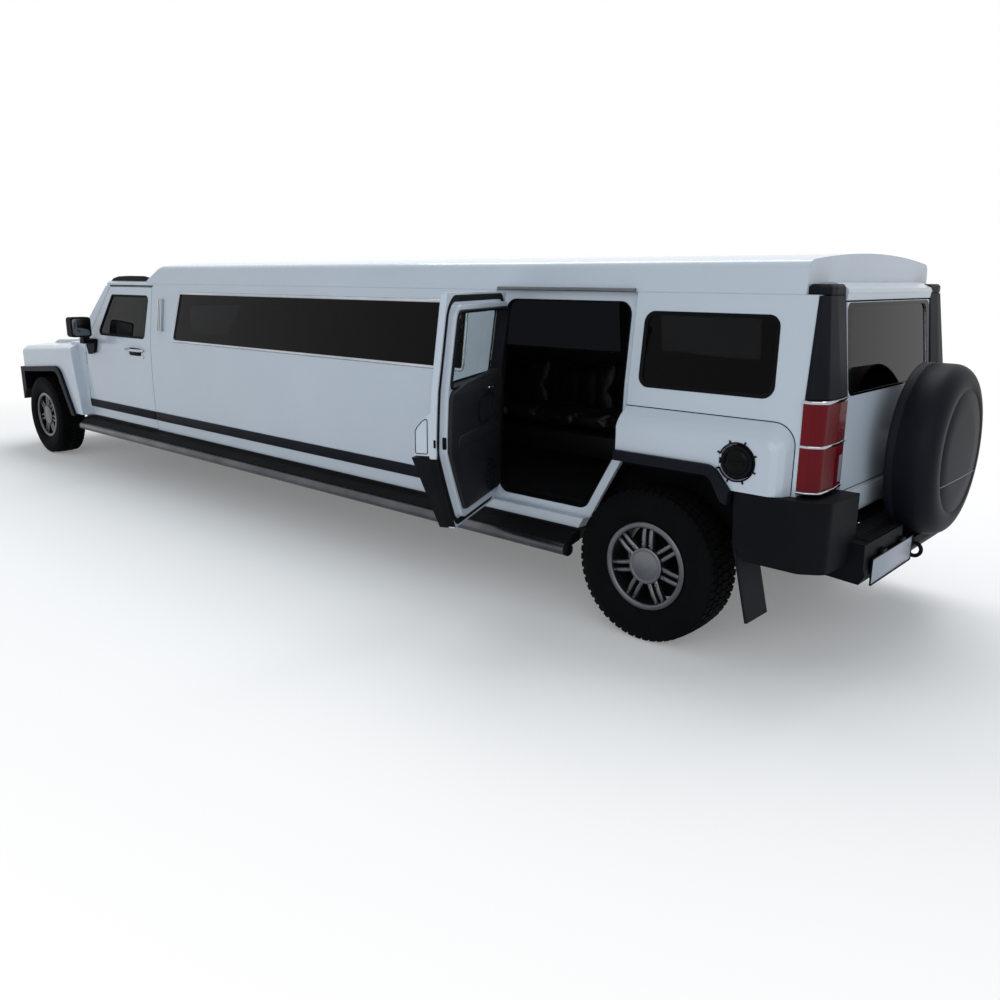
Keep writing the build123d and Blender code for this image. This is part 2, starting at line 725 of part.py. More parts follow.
roof_shell = less(less(roof_outer.part, roof_slope(0)), less(roof_inner.part, roof_slope(130)))
eave_blank = side_layer(FRONT_DOOR_REAR - DOOR_GAP, ROOF_TOE, 0, WALL)
eave_lip = trimmed(
    eave_blank,
    side_face(
        [
            (FRONT_DOOR_REAR - DOOR_GAP, FRONT_DOOR_TOP + DOOR_GAP),
            (FRONT_DOOR_REAR - DOOR_GAP, EAVE_Z),
            (ROOF_TOE, EAVE_Z),
            (ROOF_TOE, FRONT_DOOR_TOP + DOOR_GAP),
        ]
    ),
)
VISOR = [
    (ROOF_REAR, EAVE_Z),
    (ROOF_REAR, EAVE_Z + ROOF_RISE * 0.294),
    (ROOF_REAR - 40, EAVE_Z + ROOF_RISE * 0.273),
    (ROOF_REAR - 92, EAVE_Z + 27),
    (ROOF_REAR - 100, EAVE_Z + 7),
    (ROOF_REAR - 96, EAVE_Z),
]
VISOR_HALF = LAMP_IN - 2
visor = slab(Plane.XZ.offset(-VISOR_HALF), VISOR, 2 * VISOR_HALF)
VISOR_DROP = [(ROOF_REAR, EAVE_Z), (ROOF_REAR - 96, EAVE_Z), (ROOF_REAR - 92, 1719), (ROOF_REAR, 1719)]
visor_drop = slab(Plane.XZ.offset(-VISOR_HALF), VISOR_DROP, 2 * VISOR_HALF)
SIDE_PANEL_FRONT = FRONT_DOOR_REAR - DOOR_GAP
eave_lip = less(eave_lip, box((SIDE_PANEL_FRONT - 50, SIDE_PANEL_FRONT), (600, 900), (1700, 1800)))
keep("roof", joined(roof_shell, eave_lip, right_of(eave_lip), visor, visor_drop))

# Lower roof over the driver, with eave rails and a header above the windscreen
with BuildPart() as cab_roof:
    with BuildSketch(Plane.YZ.offset(ROOF_TOE)):
        with BuildLine():
            rail_l = Line((skin_y(FRONT_DOOR_TOP + DOOR_GAP), FRONT_DOOR_TOP + DOOR_GAP), (EAVE_Y, EAVE_Z))
            edge_l = Line(rail_l @ 1, (770, 1766))
            crown_c = ThreePointArc(edge_l @ 1, (0, 1790), (-770, 1766))
            edge_r = Line(crown_c @ 1, (-EAVE_Y, EAVE_Z))
            rail_r = Line(edge_r @ 1, (-skin_y(FRONT_DOOR_TOP + DOOR_GAP), FRONT_DOOR_TOP + DOOR_GAP))
            inner_r = Line(rail_r @ 1, (-EAVE_Y + WALL, FRONT_DOOR_TOP + DOOR_GAP))
            wall_r = Line(inner_r @ 1, (-EAVE_Y + WALL, 1728))
            under = ThreePointArc(wall_r @ 1, (0, 1748), (EAVE_Y - WALL, 1728))
            wall_l = Line(under @ 1, (EAVE_Y - WALL, FRONT_DOOR_TOP + DOOR_GAP))
            Line(wall_l @ 1, rail_l @ 0)
        make_face()
    extrude(amount=CAB_ROOF_FRONT - ROOF_TOE)
HEADER = [
    (CAB_ROOF_FRONT, 1778),
    (CAB_ROOF_FRONT, 1760),
    (CAB_ROOF_FRONT - 55, 1700),
    (CAB_ROOF_FRONT - 75, 1712),
    (CAB_ROOF_FRONT - 75, 1778),
]
header = slab(Plane.XZ.offset(-(EAVE_Y - WALL - 2)), HEADER, 2 * (EAVE_Y - WALL - 2))
windscreen_room = slab(
    Plane.XZ.offset(-900),
    [
        (GLASS_BASE[0] + 60, GLASS_BASE[1]),
        (GLASS_TOP[0] + 60, GLASS_TOP[1]),
        (GLASS_TOP[0] + 3, GLASS_TOP[1] + 3),
        (GLASS_TOP[0] - 9, GLASS_TOP[1] - 9),
        (GLASS_BASE[0] - 9, GLASS_BASE[1] - 9),
    ],
    1800,
)
cab_roof_whole = within(
    joined(cab_roof.part, header), box((ROOF_TOE, CAB_ROOF_FRONT), (-900, 900), (1600, 1790))
)
cab_roof_cut = less(cab_roof_whole, windscreen_room)

# Windscreen pillars between the doors and the screen
PILLAR_FACE = [
    (GLASS_BASE[0] + 24, COWL_Z),
    (CAB_ROOF_FRONT + 22, FRONT_DOOR_TOP + DOOR_GAP),
    (FX - 1500, FRONT_DOOR_TOP + DOOR_GAP),
    (FX - 1500, COWL_Z),
]
pillar = trimmed(
    side_layer(FX - 1490, FX - 740, 0, WALL),
    side_face(PILLAR_FACE),
    [side_face(FRONT_DOOR, 0, DOOR_GAP)],
)
keep("cab_frame", joined(cab_roof_cut, pillar, right_of(pillar)))

# Windscreen pane between the pillars
slope_dir = Vector(GLASS_TOP[0] - GLASS_BASE[0], 0, GLASS_TOP[1] - GLASS_BASE[1])
glass_normal = Vector(slope_dir.Z, 0, -slope_dir.X).normalized()
screen_plane = Plane(origin=(GLASS_BASE[0], 0, GLASS_BASE[1]), x_dir=(0, 1, 0), z_dir=glass_normal)
SCREEN_H = slope_dir.length
low_half = skin_y(GLASS_BASE[1]) - WALL - 5
high_half = skin_y(FRONT_DOOR_TOP) - WALL - 3
with BuildPart() as screen:
    with BuildSketch(screen_plane):
        with BuildLine():
            Polyline(
                (-low_half, 3),
                (low_half, 3),
                (high_half, SCREEN_H - 16),
                (-high_half, SCREEN_H - 16),
                close=True,
            )
        make_face()
    extrude(amount=-GLASS)
keep("windscreen", screen.part)

# Cowl and firewall
cowl = box((FIREWALL_REAR, HOOD_REAR - HOOD_GAP), (-FENDER_IN, FENDER_IN), (COWL_Z - 60, COWL_Z))
fire_half = SILL_Y - WALL - 4
firewall = box((FIREWALL_REAR, FIREWALL_FRONT), (-fire_half, fire_half), (RAIL_HIGH, COWL_Z - 60))

# Hood with a raised middle, hinged at its rear edge
HOOD_PROFILE = [
    (HOOD_REAR, HOOD_Z - 42),
    (HOOD_REAR, HOOD_Z),
    (FX + 240, 1150),
    (NOSE_X - 6, 1088),
    (NOSE_X - 6, 1052),
    (FX + 225, 1108),
]
HOOD_RAISE = [
    (HOOD_REAR + 60, HOOD_Z - 10),
    (HOOD_REAR + 110, HOOD_Z + 14),
    (FX + 200, 1168),
    (FX + 330, 1115),
    (FX + 225, 1120),
]
HOOD_RAISE_HALF = 390
hood_plate = slab(Plane.XZ.offset(-HOOD_HALF), HOOD_PROFILE, 2 * HOOD_HALF, [0, 0, 90, 20, 0, 60])
hood_raise = slab(Plane.XZ.offset(-HOOD_RAISE_HALF), HOOD_RAISE, 2 * HOOD_RAISE_HALF, [0, 20, 60, 0, 0])
HOOD_AXIS = (HOOD_REAR - HOOD_GAP / 2, 0, HOOD_Z + 2)
HOOD_HINGE_Y = (-480, 480)
cowl_lip = box(
    (HOOD_REAR - HOOD_GAP - 24, HOOD_REAR - HOOD_GAP), (-FENDER_IN, FENDER_IN), (COWL_Z - 1, HOOD_Z)
)
hood, cowl_whole = hinged(
    joined(hood_plate, hood_raise),
    joined(cowl, firewall, cowl_lip),
    HOOD_AXIS,
    (0, 1, 0),
    HOOD_HINGE_Y,
)
keep("hood", hood)
keep("firewall", cowl_whole)

# Grille with horizontal bars and two round lamp holes
GRILLE_X = (NOSE_X - 34, NOSE_X + 8)
GRILLE_LOW, GRILLE_HIGH = 868, 1044
LAMP_Y, HEAD_LAMP_Z, HEAD_LAMP_R = 500, 958, 80
SLOT_HALF, SLOT_H = 350, 30
with BuildPart() as grille:
    with BuildSketch(Plane.YZ.offset(GRILLE_X[0])):
        with Locations((0, (GRILLE_LOW + GRILLE_HIGH) / 2)):
            Rectangle(2 * FENDER_IN, GRILLE_HIGH - GRILLE_LOW)
        with Locations((LAMP_Y, HEAD_LAMP_Z), (-LAMP_Y, HEAD_LAMP_Z)):
            Circle(HEAD_LAMP_R, mode=Mode.SUBTRACT)
        with GridLocations(0, 52, 1, 3):
            with Locations((0, (GRILLE_LOW + GRILLE_HIGH) / 2)):
                Rectangle(2 * SLOT_HALF, SLOT_H, mode=Mode.SUBTRACT)
    extrude(amount=GRILLE_X[1] - GRILLE_X[0])
keep("grille", grille.part)
with BuildPart() as lamps:
    with BuildSketch(Plane.YZ.offset(GRILLE_X[0] - 20)):
        with Locations((LAMP_Y, HEAD_LAMP_Z), (-LAMP_Y, HEAD_LAMP_Z)):
            Circle(HEAD_LAMP_R - SEAT_GAP)
    extrude(amount=GRILLE_X[1] - GRILLE_X[0] + 26)
keep("headlamps", lamps.part)

# Front bumper: wrapped shell open to the rear
BUMPER_PLAN = [
    (FX + 446, 940),
    (FX + 570, 930),
    (FX + 672, 780),
    (BUMPER_FRONT, 480),
    (BUMPER_FRONT, -480),
    (FX + 672, -780),
    (FX + 570, -930),
    (FX + 446, -940),
]
BUMPER_INNER = [
    (FX + 440, 880),
    (FX + 530, 870),
    (FX + 610, 740),
    (RAIL_FRONT, 470),
    (RAIL_FRONT, -470),
    (FX + 610, -740),
    (FX + 530, -870),
    (FX + 440, -880),
]
FRONT_BUMPER_LOW, FRONT_BUMPER_HIGH = 520, 862
bumper_tall = FRONT_BUMPER_HIGH - FRONT_BUMPER_LOW
bumper_outer = slab(Plane.XY.offset(FRONT_BUMPER_LOW), BUMPER_PLAN, bumper_tall)
bumper_inner = slab(Plane.XY.offset(FRONT_BUMPER_LOW - 5), BUMPER_INNER, bumper_tall - 35)
BUMPER_SIDE = [
    (FX + 440, 640),
    (FX + 440, 870),
    (BUMPER_FRONT - 40, 870),
    (BUMPER_FRONT, 800),
    (BUMPER_FRONT, 640),
    (BUMPER_FRONT - 60, FRONT_BUMPER_LOW),
    (FX + 560, FRONT_BUMPER_LOW),
]
bumper_side = slab(Plane.XZ.offset(-1000), BUMPER_SIDE, 2000)
keep("front_bumper", less(within(bumper_outer, bumper_side), bumper_inner))

# Rear bumper: end caps behind the wheels, joined by a lower beam with a step on top
REAR_CAP = [
    (RX - 456, INNER_SIDE),
    (RX - 456, 935),
    (RX - 800, 945),
    (RX - 895, 880),
    (RX - 905, 600),
    (RX - 905, LAMP_IN + 2),
    (TAIL_X - 12, LAMP_IN + 2),
    (TAIL_X - 12, INNER_SIDE),
]
CAP_LOW = 545
rear_cap = slab(Plane.XY.offset(CAP_LOW), REAR_CAP, BUMPER_TOP - CAP_LOW, [0, 15, 60, 60, 0, 0, 0, 0])
CAP_SIDE = [
    CAP_EDGE_HIGH,
    CAP_EDGE_LOW,
    (RX - 540, CAP_LOW),
    (RX - 1000, CAP_LOW),
    (RX - 1000, BUMPER_TOP),
    (RX - 470, BUMPER_TOP),
]
cap_side = slab(Plane.XZ.offset(-1000), CAP_SIDE, 2000)
rear_caps = pair(within(rear_cap, cap_side))
BEAM = [
    (RX - 772, 470),
    (RX - 772, 548),
    (RX - 812, 650),
    (RX - 890, 650),
    (RX - 890, 548),
    (RX - 975, 535),
    (RX - 985, 500),
    (RX - 960, 455),
]
BEAM_HALF = 640
rear_beam = slab(Plane.XZ.offset(-BEAM_HALF), BEAM, 2 * BEAM_HALF)
STEP_TOP, SPARE_AIR = 650, 10
STEP = [(RX - 880, 540), (RX - 880, STEP_TOP), (RX - 972, STEP_TOP - 5), (RX - 975, 530)]
# The step ends where the spare's cover comes down to it
STEP_INNER = SPARE_Y + math.sqrt(SPARE_R**2 - (SPARE_Z - STEP_TOP - SPARE_AIR) ** 2)
step_left = slab(Plane.XZ.offset(-BEAM_HALF), STEP, BEAM_HALF - STEP_INNER)
step_right = slab(Plane.XZ.offset(600), STEP, BEAM_HALF - 600)
keep("rear_bumper", joined(rear_caps, rear_beam, step_left, step_right))

# Tail lamps and the black pillar trims above them
LAMP_PLAN = [
    (TAIL_X, LAMP_IN),
    (TAIL_X - 84, LAMP_IN),
    (TAIL_X - 98, 700),
    (TAIL_X - 92, 835),
    (TAIL_X - 40, 866),
    (TAIL_X, 866),
]
lamp_block = slab(Plane.XY.offset(LAMP_LOW), LAMP_PLAN, LAMP_HIGH - LAMP_LOW, [0, 8, 0, 40, 0, 0])
keep("tail_lamps", pair(lamp_block))
TRIM_SECTIONS = [  # height, depth behind the tail wall, half width
    (LAMP_HIGH + 2, 94, 856),
    (EAVE_Z - 4, 34, 800),
]
trim_faces = []
for height, depth, half in TRIM_SECTIONS:
    with BuildSketch(Plane.XY.offset(height)) as trim_face:
        with BuildLine():
            FilletPolyline(
                (TAIL_X, LAMP_IN),
                (TAIL_X - depth * 0.86, LAMP_IN),
                (TAIL_X - depth, LAMP_IN + 110),
                (TAIL_X - depth * 0.9, half - 50),
                (TAIL_X - depth * 0.35, half),
                (TAIL_X, half),
                radius=[0, 8, 90, depth * 0.45, depth * 0.3, 0],
                close=True,
            )
        make_face()
    trim_faces.append(trim_face.sketch)
with BuildPart() as trim:
    loft(trim_faces, ruled=True)
CAP_TOP, CAP_HALF = EAVE_Z + 45, 776
TRIM_CAP = [
    (ROOF_REAR - SEAT_GAP, LAMP_IN),
    (TAIL_X - 29, LAMP_IN),
    (TAIL_X - 34, LAMP_IN + 110),
    (TAIL_X - 30, CAP_HALF - 30),
    (TAIL_X + 8, CAP_HALF),
    (ROOF_REAR - SEAT_GAP, CAP_HALF),
]
trim_cap = slab(
    Plane.XY.offset(EAVE_Z + SEAT_GAP), TRIM_CAP, CAP_TOP - EAVE_Z - SEAT_GAP, [0, 18, 60, 18, 18, 0]
)
with BuildPart() as capped:
    add(trim_cap)
    chamfer(capped.faces().sort_by(Axis.Z)[-1].edges(), 12)
cap_neck = box(
    (TAIL_X - 26, TAIL_X - SEAT_GAP), (LAMP_IN + 2, CAP_HALF - 36), (EAVE_Z - 10, EAVE_Z + 10)
)
keep("pillar_trims", pair(joined(trim.part, cap_neck, capped.part)))

# Tailgate leaning forward above the belt, hinged on its right edge, with the spare carrier's boss
TAILGATE_SIDE = [
    (RX - 735, TAILGATE_LOW),
    (RX - 796, TAILGATE_LOW),
    (RX - 806, 860),
    (RX - 800, 1292),
    (RX - 756, TAILGATE_HIGH),
    (RX - 700, TAILGATE_HIGH),
    (RX - 735, 1292),
]
tailgate_blank = slab(
    Plane.XZ.offset(-TAILGATE_HALF), TAILGATE_SIDE, 2 * TAILGATE_HALF, [0, 0, 60, 60, 0, 0, 0]
)
REAR_GLASS = [(-535, 1305), (535, 1305), (512, 1692), (-512, 1692)]


def rear_window(grow, depth):
    """Tailgate window outline extruded forward along the car."""
    with BuildPart() as block:
        with BuildSketch(Plane.YZ.offset(RX - 900)):
            with BuildLine():
                FilletPolyline(*REAR_GLASS, radius=45, close=True)
            make_face()
            if grow:
                offset(amount=grow, kind=Kind.INTERSECTION)
        extrude(amount=depth)
    return block.part


REAR_PANE = [
    (RX - 794, 1292),
    (RX - 750, TAILGATE_HIGH),
    (RX - 750 + GLASS, TAILGATE_HIGH),
    (RX - 794 + GLASS, 1292),
]
rear_pane_blank = slab(Plane.XZ.offset(-600), REAR_PANE, 1200)
keep("tailgate_glass", within(rear_pane_blank, rear_window(-SEAT_GAP, 300)))
BOSS_R = 75
SPARE_BACK = RX - 884
boss = rod((RX - 790, SPARE_Y, SPARE_Z), (SPARE_BACK, SPARE_Y, SPARE_Z), BOSS_R)
spare_pin = rod((RX - 790, SPARE_Y, SPARE_Z), (RX - 1010, SPARE_Y, SPARE_Z), SPINDLE_R)
tailgate_body = joined(less(tailgate_blank, rear_window(0, 300)), boss, spare_pin)
HINGE_LEAF = 5
TAILGATE_AXIS = (TAILGATE_HINGE_X, TAILGATE_HINGE_Y, 0)
ARM_REACH = 60
gap_mid = -(TAILGATE_HALF + LAMP_IN) / 2
swing_ends = barrels(TAILGATE_AXIS, UP, TAILGATE_HINGE_Z, True)
stay_ends = barrels(TAILGATE_AXIS, UP, TAILGATE_HINGE_Z, False)
swing_parts = []
for low, high in swing_ends:
    swing_parts.append(rod(low, high, BARREL_R))
    swing_parts.append(
        box(
            (TAILGATE_HINGE_X - BARREL_R, TAIL_X - 70),
            (-TAILGATE_HALF, -TAILGATE_HALF + ARM_REACH),
            (low.Z, high.Z),
        )
    )
    swing_parts.append(
        box(
            (TAILGATE_HINGE_X - BARREL_R, TAILGATE_HINGE_X + BARREL_R),
            (TAILGATE_HINGE_Y, -TAILGATE_HALF),
            (low.Z, high.Z),
        )
    )
stay_parts = []
for low, high in stay_ends:
    stay_parts.append(rod(low, high, BARREL_R))
    stay_parts.append(
        box(
            (TAILGATE_HINGE_X + BARREL_R - 3, TAIL_X + FLOOR),
            (gap_mid - HINGE_LEAF / 2, gap_mid + HINGE_LEAF / 2),
            (low.Z, high.Z),
        )
    )
    stay_parts.append(
        box(
            (TAILGATE_HINGE_X - 2, TAILGATE_HINGE_X + BARREL_R + 3),
            (TAILGATE_HINGE_Y, gap_mid + HINGE_LEAF / 2),
            (low.Z, high.Z),
        )
    )
    stay_parts.append(
        box((TAIL_X, TAIL_X + FLOOR), (-LAMP_IN, gap_mid), (low.Z, high.Z))
    )
keep("tailgate", joined(tailgate_body, *swing_parts))
quarter_right = joined(quarter_right, *stay_parts)
with BuildPart() as quarters:
    add(quarter_left)
    add(quarter_right)
keep("quarter_panels", quarters.part)

# Spare wheel on the boss, under a hard round cover
spare_axis = Axis((0, SPARE_Y, SPARE_Z), (1, 0, 0))
spare_plane = Plane(origin=(0, SPARE_Y, SPARE_Z), x_dir=(1, 0, 0), z_dir=(0, -1, 0))
SPARE_FACE = RX - 1118
COVER_SOFT, COVER_DOME = 85, 6
COVER_BACK = SPARE_BACK - 14
turn_x, turn_r = SPARE_FACE + COVER_SOFT, SPARE_R - COVER_SOFT
inner_soft = COVER_SOFT - COVER_WALL
half_turn = math.sqrt(0.5)
with BuildPart() as cover:
    with BuildSketch(spare_plane):
        with BuildLine():
            rim_line = Line((COVER_BACK, SPARE_R), (turn_x, SPARE_R))
            shoulder = ThreePointArc(
                rim_line @ 1,
                (turn_x - COVER_SOFT * half_turn, turn_r + COVER_SOFT * half_turn),
                (SPARE_FACE, turn_r),
            )
            dome = Line(shoulder @ 1, (SPARE_FACE - COVER_DOME, 0))
            middle = Line(dome @ 1, (SPARE_FACE - COVER_DOME + COVER_WALL, 0))
            lining = Line(middle @ 1, (SPARE_FACE + COVER_WALL, turn_r))
            inner_turn = ThreePointArc(
                lining @ 1,
                (turn_x - inner_soft * half_turn, turn_r + inner_soft * half_turn),
                (turn_x, SPARE_R - COVER_WALL),
            )
            wall_line = Line(inner_turn @ 1, (COVER_BACK, SPARE_R - COVER_WALL))
            Line(wall_line @ 1, rim_line @ 0)
        make_face()
    revolve(axis=spare_axis)
keep("spare_cover", cover.part)
with BuildPart() as spare:
    with BuildSketch(spare_plane):
        with BuildLine():
            Polyline(
                (SPARE_BACK - SEAT_GAP, SPINDLE_R + SPINDLE_FIT),
                (SPARE_BACK - SEAT_GAP, SPARE_RIM_R - 30),
                (SPARE_BACK - 20, SPARE_RIM_R),
                (SPARE_BACK - 4, SPARE_TYRE_R - 88),
                (SPARE_BACK - 12, SPARE_TYRE_R - 18),
                (SPARE_BACK - 50, SPARE_TYRE_R),
                (SPARE_FACE + 72, SPARE_TYRE_R),
                (SPARE_FACE + 30, SPARE_TYRE_R - 23),
                (SPARE_FACE + COVER_WALL + 0.4, SPARE_TYRE_R - 68),
                (SPARE_FACE + COVER_WALL + 0.4, SPARE_RIM_R + 20),
                (SPARE_FACE + 60, SPARE_RIM_R - 20),
                (SPARE_FACE + 100, SPINDLE_R + SPINDLE_FIT),
                close=True,
            )
        make_face()
    revolve(axis=spare_axis)
keep("spare_wheel", spare.part)

# Black wheel flares and the mud flaps behind the rear wheels
REAR_FLARE = [
    (REAR_DOOR_REAR - DOOR_GAP, ARCH_TOP),
    (RX - 364, ARCH_TOP),
    (RX - 452, BUMPER_TOP),
    (RX - 440, 800),
    (RX - 410, 812),
    (RX - 342, 925),
    (REAR_DOOR_REAR - DOOR_GAP, 925),
]
FRONT_FLARE = [
    (NOSE_X, ARCH_FRONT_Z),
    (ARCH_REAR, ARCH_REAR_Z),
    (ARCH_FOOT, ARCH_LOW),
    (ARCH_FOOT + 70, ARCH_LOW),
    (FX - 434, 885),
    (NOSE_X, 824),
]
FLARE_ROUND = 120
with BuildPart() as flares:
    with BuildSketch(Plane.XZ.offset(-FLARE_Y)):
        with BuildLine():
            FilletPolyline(*REAR_FLARE, radius=[0, ARCH_SOFT, 0, 0, 0, 50, 0], close=True)
        make_face()
    extrude(amount=FLARE_Y - INNER_SIDE)
    with BuildSketch(Plane.XZ.offset(-FLARE_Y)):
        with BuildLine():
            FilletPolyline(*FRONT_FLARE, radius=[0, ARCH_ROUND, 0, 0, FLARE_ROUND, 0], close=True)
        make_face()
    extrude(amount=FLARE_Y - INNER_SIDE)
MUD_FLAP_TOP, MUD_FLAP_LOW, MUD_FLAP_T = 690, 240, 12
cap_slant = (CAP_EDGE_HIGH[0] - CAP_EDGE_LOW[0]) / (CAP_EDGE_HIGH[1] - CAP_EDGE_LOW[1])
flap_back = CAP_EDGE_LOW[0] + SEAT_GAP
flap_back_top = flap_back + cap_slant * (MUD_FLAP_TOP - CAP_EDGE_LOW[1])
MUD_FLAP = [
    (flap_back_top + MUD_FLAP_T, MUD_FLAP_TOP),
    (flap_back_top, MUD_FLAP_TOP),
    (flap_back, CAP_EDGE_LOW[1]),
    (RX - 568, MUD_FLAP_LOW),
    (RX - 568 + MUD_FLAP_T, MUD_FLAP_LOW),
    (flap_back + MUD_FLAP_T, CAP_EDGE_LOW[1]),
]
mud_flap = slab(Plane.XZ.offset(-920), MUD_FLAP, 215)
with BuildPart() as flare_set:
    add(flares.part)
    add(mud_flap)
    mirror(about=Plane.XZ)
keep("wheel_flares", flare_set.part)

# Running boards: step plate, polished tube and brackets to the chassis
BOARD_FRONT, BOARD_REAR = FX - 890, RX + 470
TUBE_R, TUBE_Y, TUBE_Z = 32, 948, 390
BOARD_IN = SILL_Y - 6
BOARD = [
    (BOARD_IN, ROCKER_LOW),
    (BOARD_IN, 478),
    (TUBE_Y - 40, 470),
    (TUBE_Y, 430),
    (TUBE_Y, 408),
    (TUBE_Y - 30, 408),
]
board = slab(Plane.YZ.offset(BOARD_REAR), BOARD, BOARD_FRONT - BOARD_REAR)
tube = rod((BOARD_REAR, TUBE_Y, TUBE_Z), (BOARD_FRONT, TUBE_Y, TUBE_Z), TUBE_R)
bracket_count = 6
bracket_pitch = (BOARD_FRONT - BOARD_REAR - 400) / (bracket_count - 1)
brackets = [
    box(
        (BOARD_REAR + 170 + i * bracket_pitch, BOARD_REAR + 230 + i * bracket_pitch),
        (RAIL_OUT, TUBE_Y - 20),
        (385, 424),
    )
    for i in range(bracket_count)
]
hangers = [
    box(
        (BOARD_REAR + 170 + i * bracket_pitch, BOARD_REAR + 230 + i * bracket_pitch),
        (RAIL_OUT, RAIL_OUT + 30),
        (385, RAIL_HIGH - 40),
    )
    for i in range(bracket_count)
]
rocker_room = box((RX, FX), (SILL_Y - WALL, BOARD_IN), (ROCKER_LOW - 1, 480))
keep("running_boards", pair(less(joined(board, tube, *brackets, *hangers), rocker_room)))

# Ladder chassis: two rails with jacking pads under them, and the members between them
PAD_PLACES = (FX - 1100, RX + 900)
PAD_HALF, PAD_LOW = 60, RAIL_LOW - 8
rail = box((RAIL_REAR, RAIL_FRONT), (RAIL_IN, RAIL_OUT), (RAIL_LOW, RAIL_HIGH))
pads = [box((x - PAD_HALF, x + PAD_HALF), (RAIL_IN, RAIL_OUT), (PAD_LOW, RAIL_LOW)) for x in PAD_PLACES]
keep("chassis_rails", pair(joined(rail, *pads)))
mid_rear, mid_front = RX + 420, FX - 760
mid_count = math.ceil((mid_front - mid_rear) / CROSS_PITCH)
cross_places = [RX - 730, RX - 300, FX - 160, FX + 355]
for i in range(mid_count + 1):
    cross_places.append(mid_rear + i * (mid_front - mid_rear) / mid_count)
keep(
    "crossmembers",
    joined(
        *[
            box((place - CROSS_W / 2, place + CROSS_W / 2), (-RAIL_IN, RAIL_IN), (CROSS_LOW, CROSS_HIGH))
            for place in cross_places
        ]
    ),
)

# Floor with wheel housings over the rear wheels and an upstand under the tailgate
floor_half = skin_y(RAIL_HIGH) - WALL - SEAT_GAP
HOUSING_AIR = 50  # from the tyre to the housing's inner face
HOUSING_IN = WHEEL_Y - TYRE_W / 2 - HOUSING_AIR
HOUSING_TOP, HOUSING_WALL = 2 * TYRE_R + 89, 14
HOUSING_REAR, HOUSING_FRONT = RX - 500, RX + 455
floor_plate = box((FLOOR_REAR, FLOOR_FRONT), (-floor_half, floor_half), (RAIL_HIGH, RAIL_HIGH + FLOOR))
upstand = box((FLOOR_REAR, FLOOR_REAR + FLOOR), (-floor_half, floor_half), (RAIL_HIGH, 704))
HOUSING_SIDE = [
    (HOUSING_REAR, RAIL_HIGH),
    (HOUSING_REAR, HOUSING_TOP),
    (RX + 240, HOUSING_TOP),
    (HOUSING_FRONT, RAIL_HIGH + 60),
    (HOUSING_FRONT, RAIL_HIGH),
]
housing_outer = slab(Plane.XZ.offset(-floor_half), HOUSING_SIDE, floor_half - HOUSING_IN)
with BuildPart() as housing_room:
    with BuildSketch(Plane.XZ.offset(-floor_half - 20)):
        with BuildLine():
            Polyline(
                (HOUSING_REAR + HOUSING_WALL, RAIL_HIGH - 5),
                (HOUSING_REAR + HOUSING_WALL, HOUSING_TOP - HOUSING_WALL),
                (RX + 232, HOUSING_TOP - HOUSING_WALL),
                (HOUSING_FRONT - HOUSING_WALL, RAIL_HIGH + 56),
                (HOUSING_FRONT - HOUSING_WALL, RAIL_HIGH - 5),
                close=True,
            )
        make_face()
    extrude(amount=floor_half + 20 - HOUSING_IN - HOUSING_WALL)
floor_whole = joined(floor_plate, upstand, housing_outer, right_of(housing_outer))
keep("floor", less(floor_whole, housing_room.part, right_of(housing_room.part)))

# Engine block with gearbox, transfer case and radiator
engine = box((FX - 640, FX + 200), (-250, 250), (CROSS_HIGH, 1020))
gearbox = box((FX - 1330, FX - 640), (-140, 140), (CROSS_HIGH, RAIL_HIGH))
transfer = box((FX - 1270, FX - 1020), (-110, 110), (HUB_Z - 60, CROSS_HIGH))
radiator = box((FX + 320, FX + 380), (-350, 350), (CROSS_HIGH, 1030))
keep("engine", joined(engine, gearbox, transfer, radiator))

# Rear axle with its differential, leaf springs and the propeller shaft
AXLE_R = 45
AXLE_END = WHEEL_Y - 152.5  # short of the brake discs
DIFF_R, DIFF_HALF, DIFF_NECK = 120, 80, 230
SPINDLE_END = WHEEL_Y + 58
with BuildPart() as axle:
    with BuildSketch(Plane(origin=(RX, 0, HUB_Z), x_dir=(0, 1, 0), z_dir=(1, 0, 0))):
        with BuildLine():
            Polyline(
                (-SPINDLE_END, 0),
                (-SPINDLE_END, SPINDLE_R),
                (-AXLE_END, SPINDLE_R),
                (-AXLE_END, AXLE_R),
                (-DIFF_NECK, AXLE_R),
                (-DIFF_HALF, DIFF_R),
                (DIFF_HALF, DIFF_R),
                (DIFF_NECK, AXLE_R),
                (AXLE_END, AXLE_R),
                (AXLE_END, SPINDLE_R),
                (SPINDLE_END, SPINDLE_R),
                (SPINDLE_END, 0),
                close=True,
            )
        make_face()
    revolve(axis=Axis((RX, 0, HUB_Z), (0, 1, 0)))
SPRING_Y, SPRING_W, SPRING_H, SPRING_HALF = 400, 64, 28, 560
spring_top = HUB_Z - AXLE_R + 6
with BuildPart() as spring:
    with BuildSketch(Plane.XZ.offset(-(SPRING_Y + SPRING_W / 2))):
        with BuildLine():
            upper = ThreePointArc(
                (RX - SPRING_HALF, RAIL_LOW - SEAT_GAP),
                (RX, spring_top),
                (RX + SPRING_HALF, RAIL_LOW - SEAT_GAP),
            )
            right_end = Line(upper @ 1, (RX + SPRING_HALF, RAIL_LOW - SPRING_H))
            lower = ThreePointArc(
                right_end @ 1, (RX, spring_top - SPRING_H), (RX - SPRING_HALF, RAIL_LOW - SPRING_H)
            )
            Line(lower @ 1, upper @ 0)
        make_face()
    extrude(amount=SPRING_W)
clamp = box((RX - 60, RX + 60), (SPRING_Y - 50, SPRING_Y + 50), (HUB_Z - 75, HUB_Z))
spring_set = joined(spring.part, clamp)
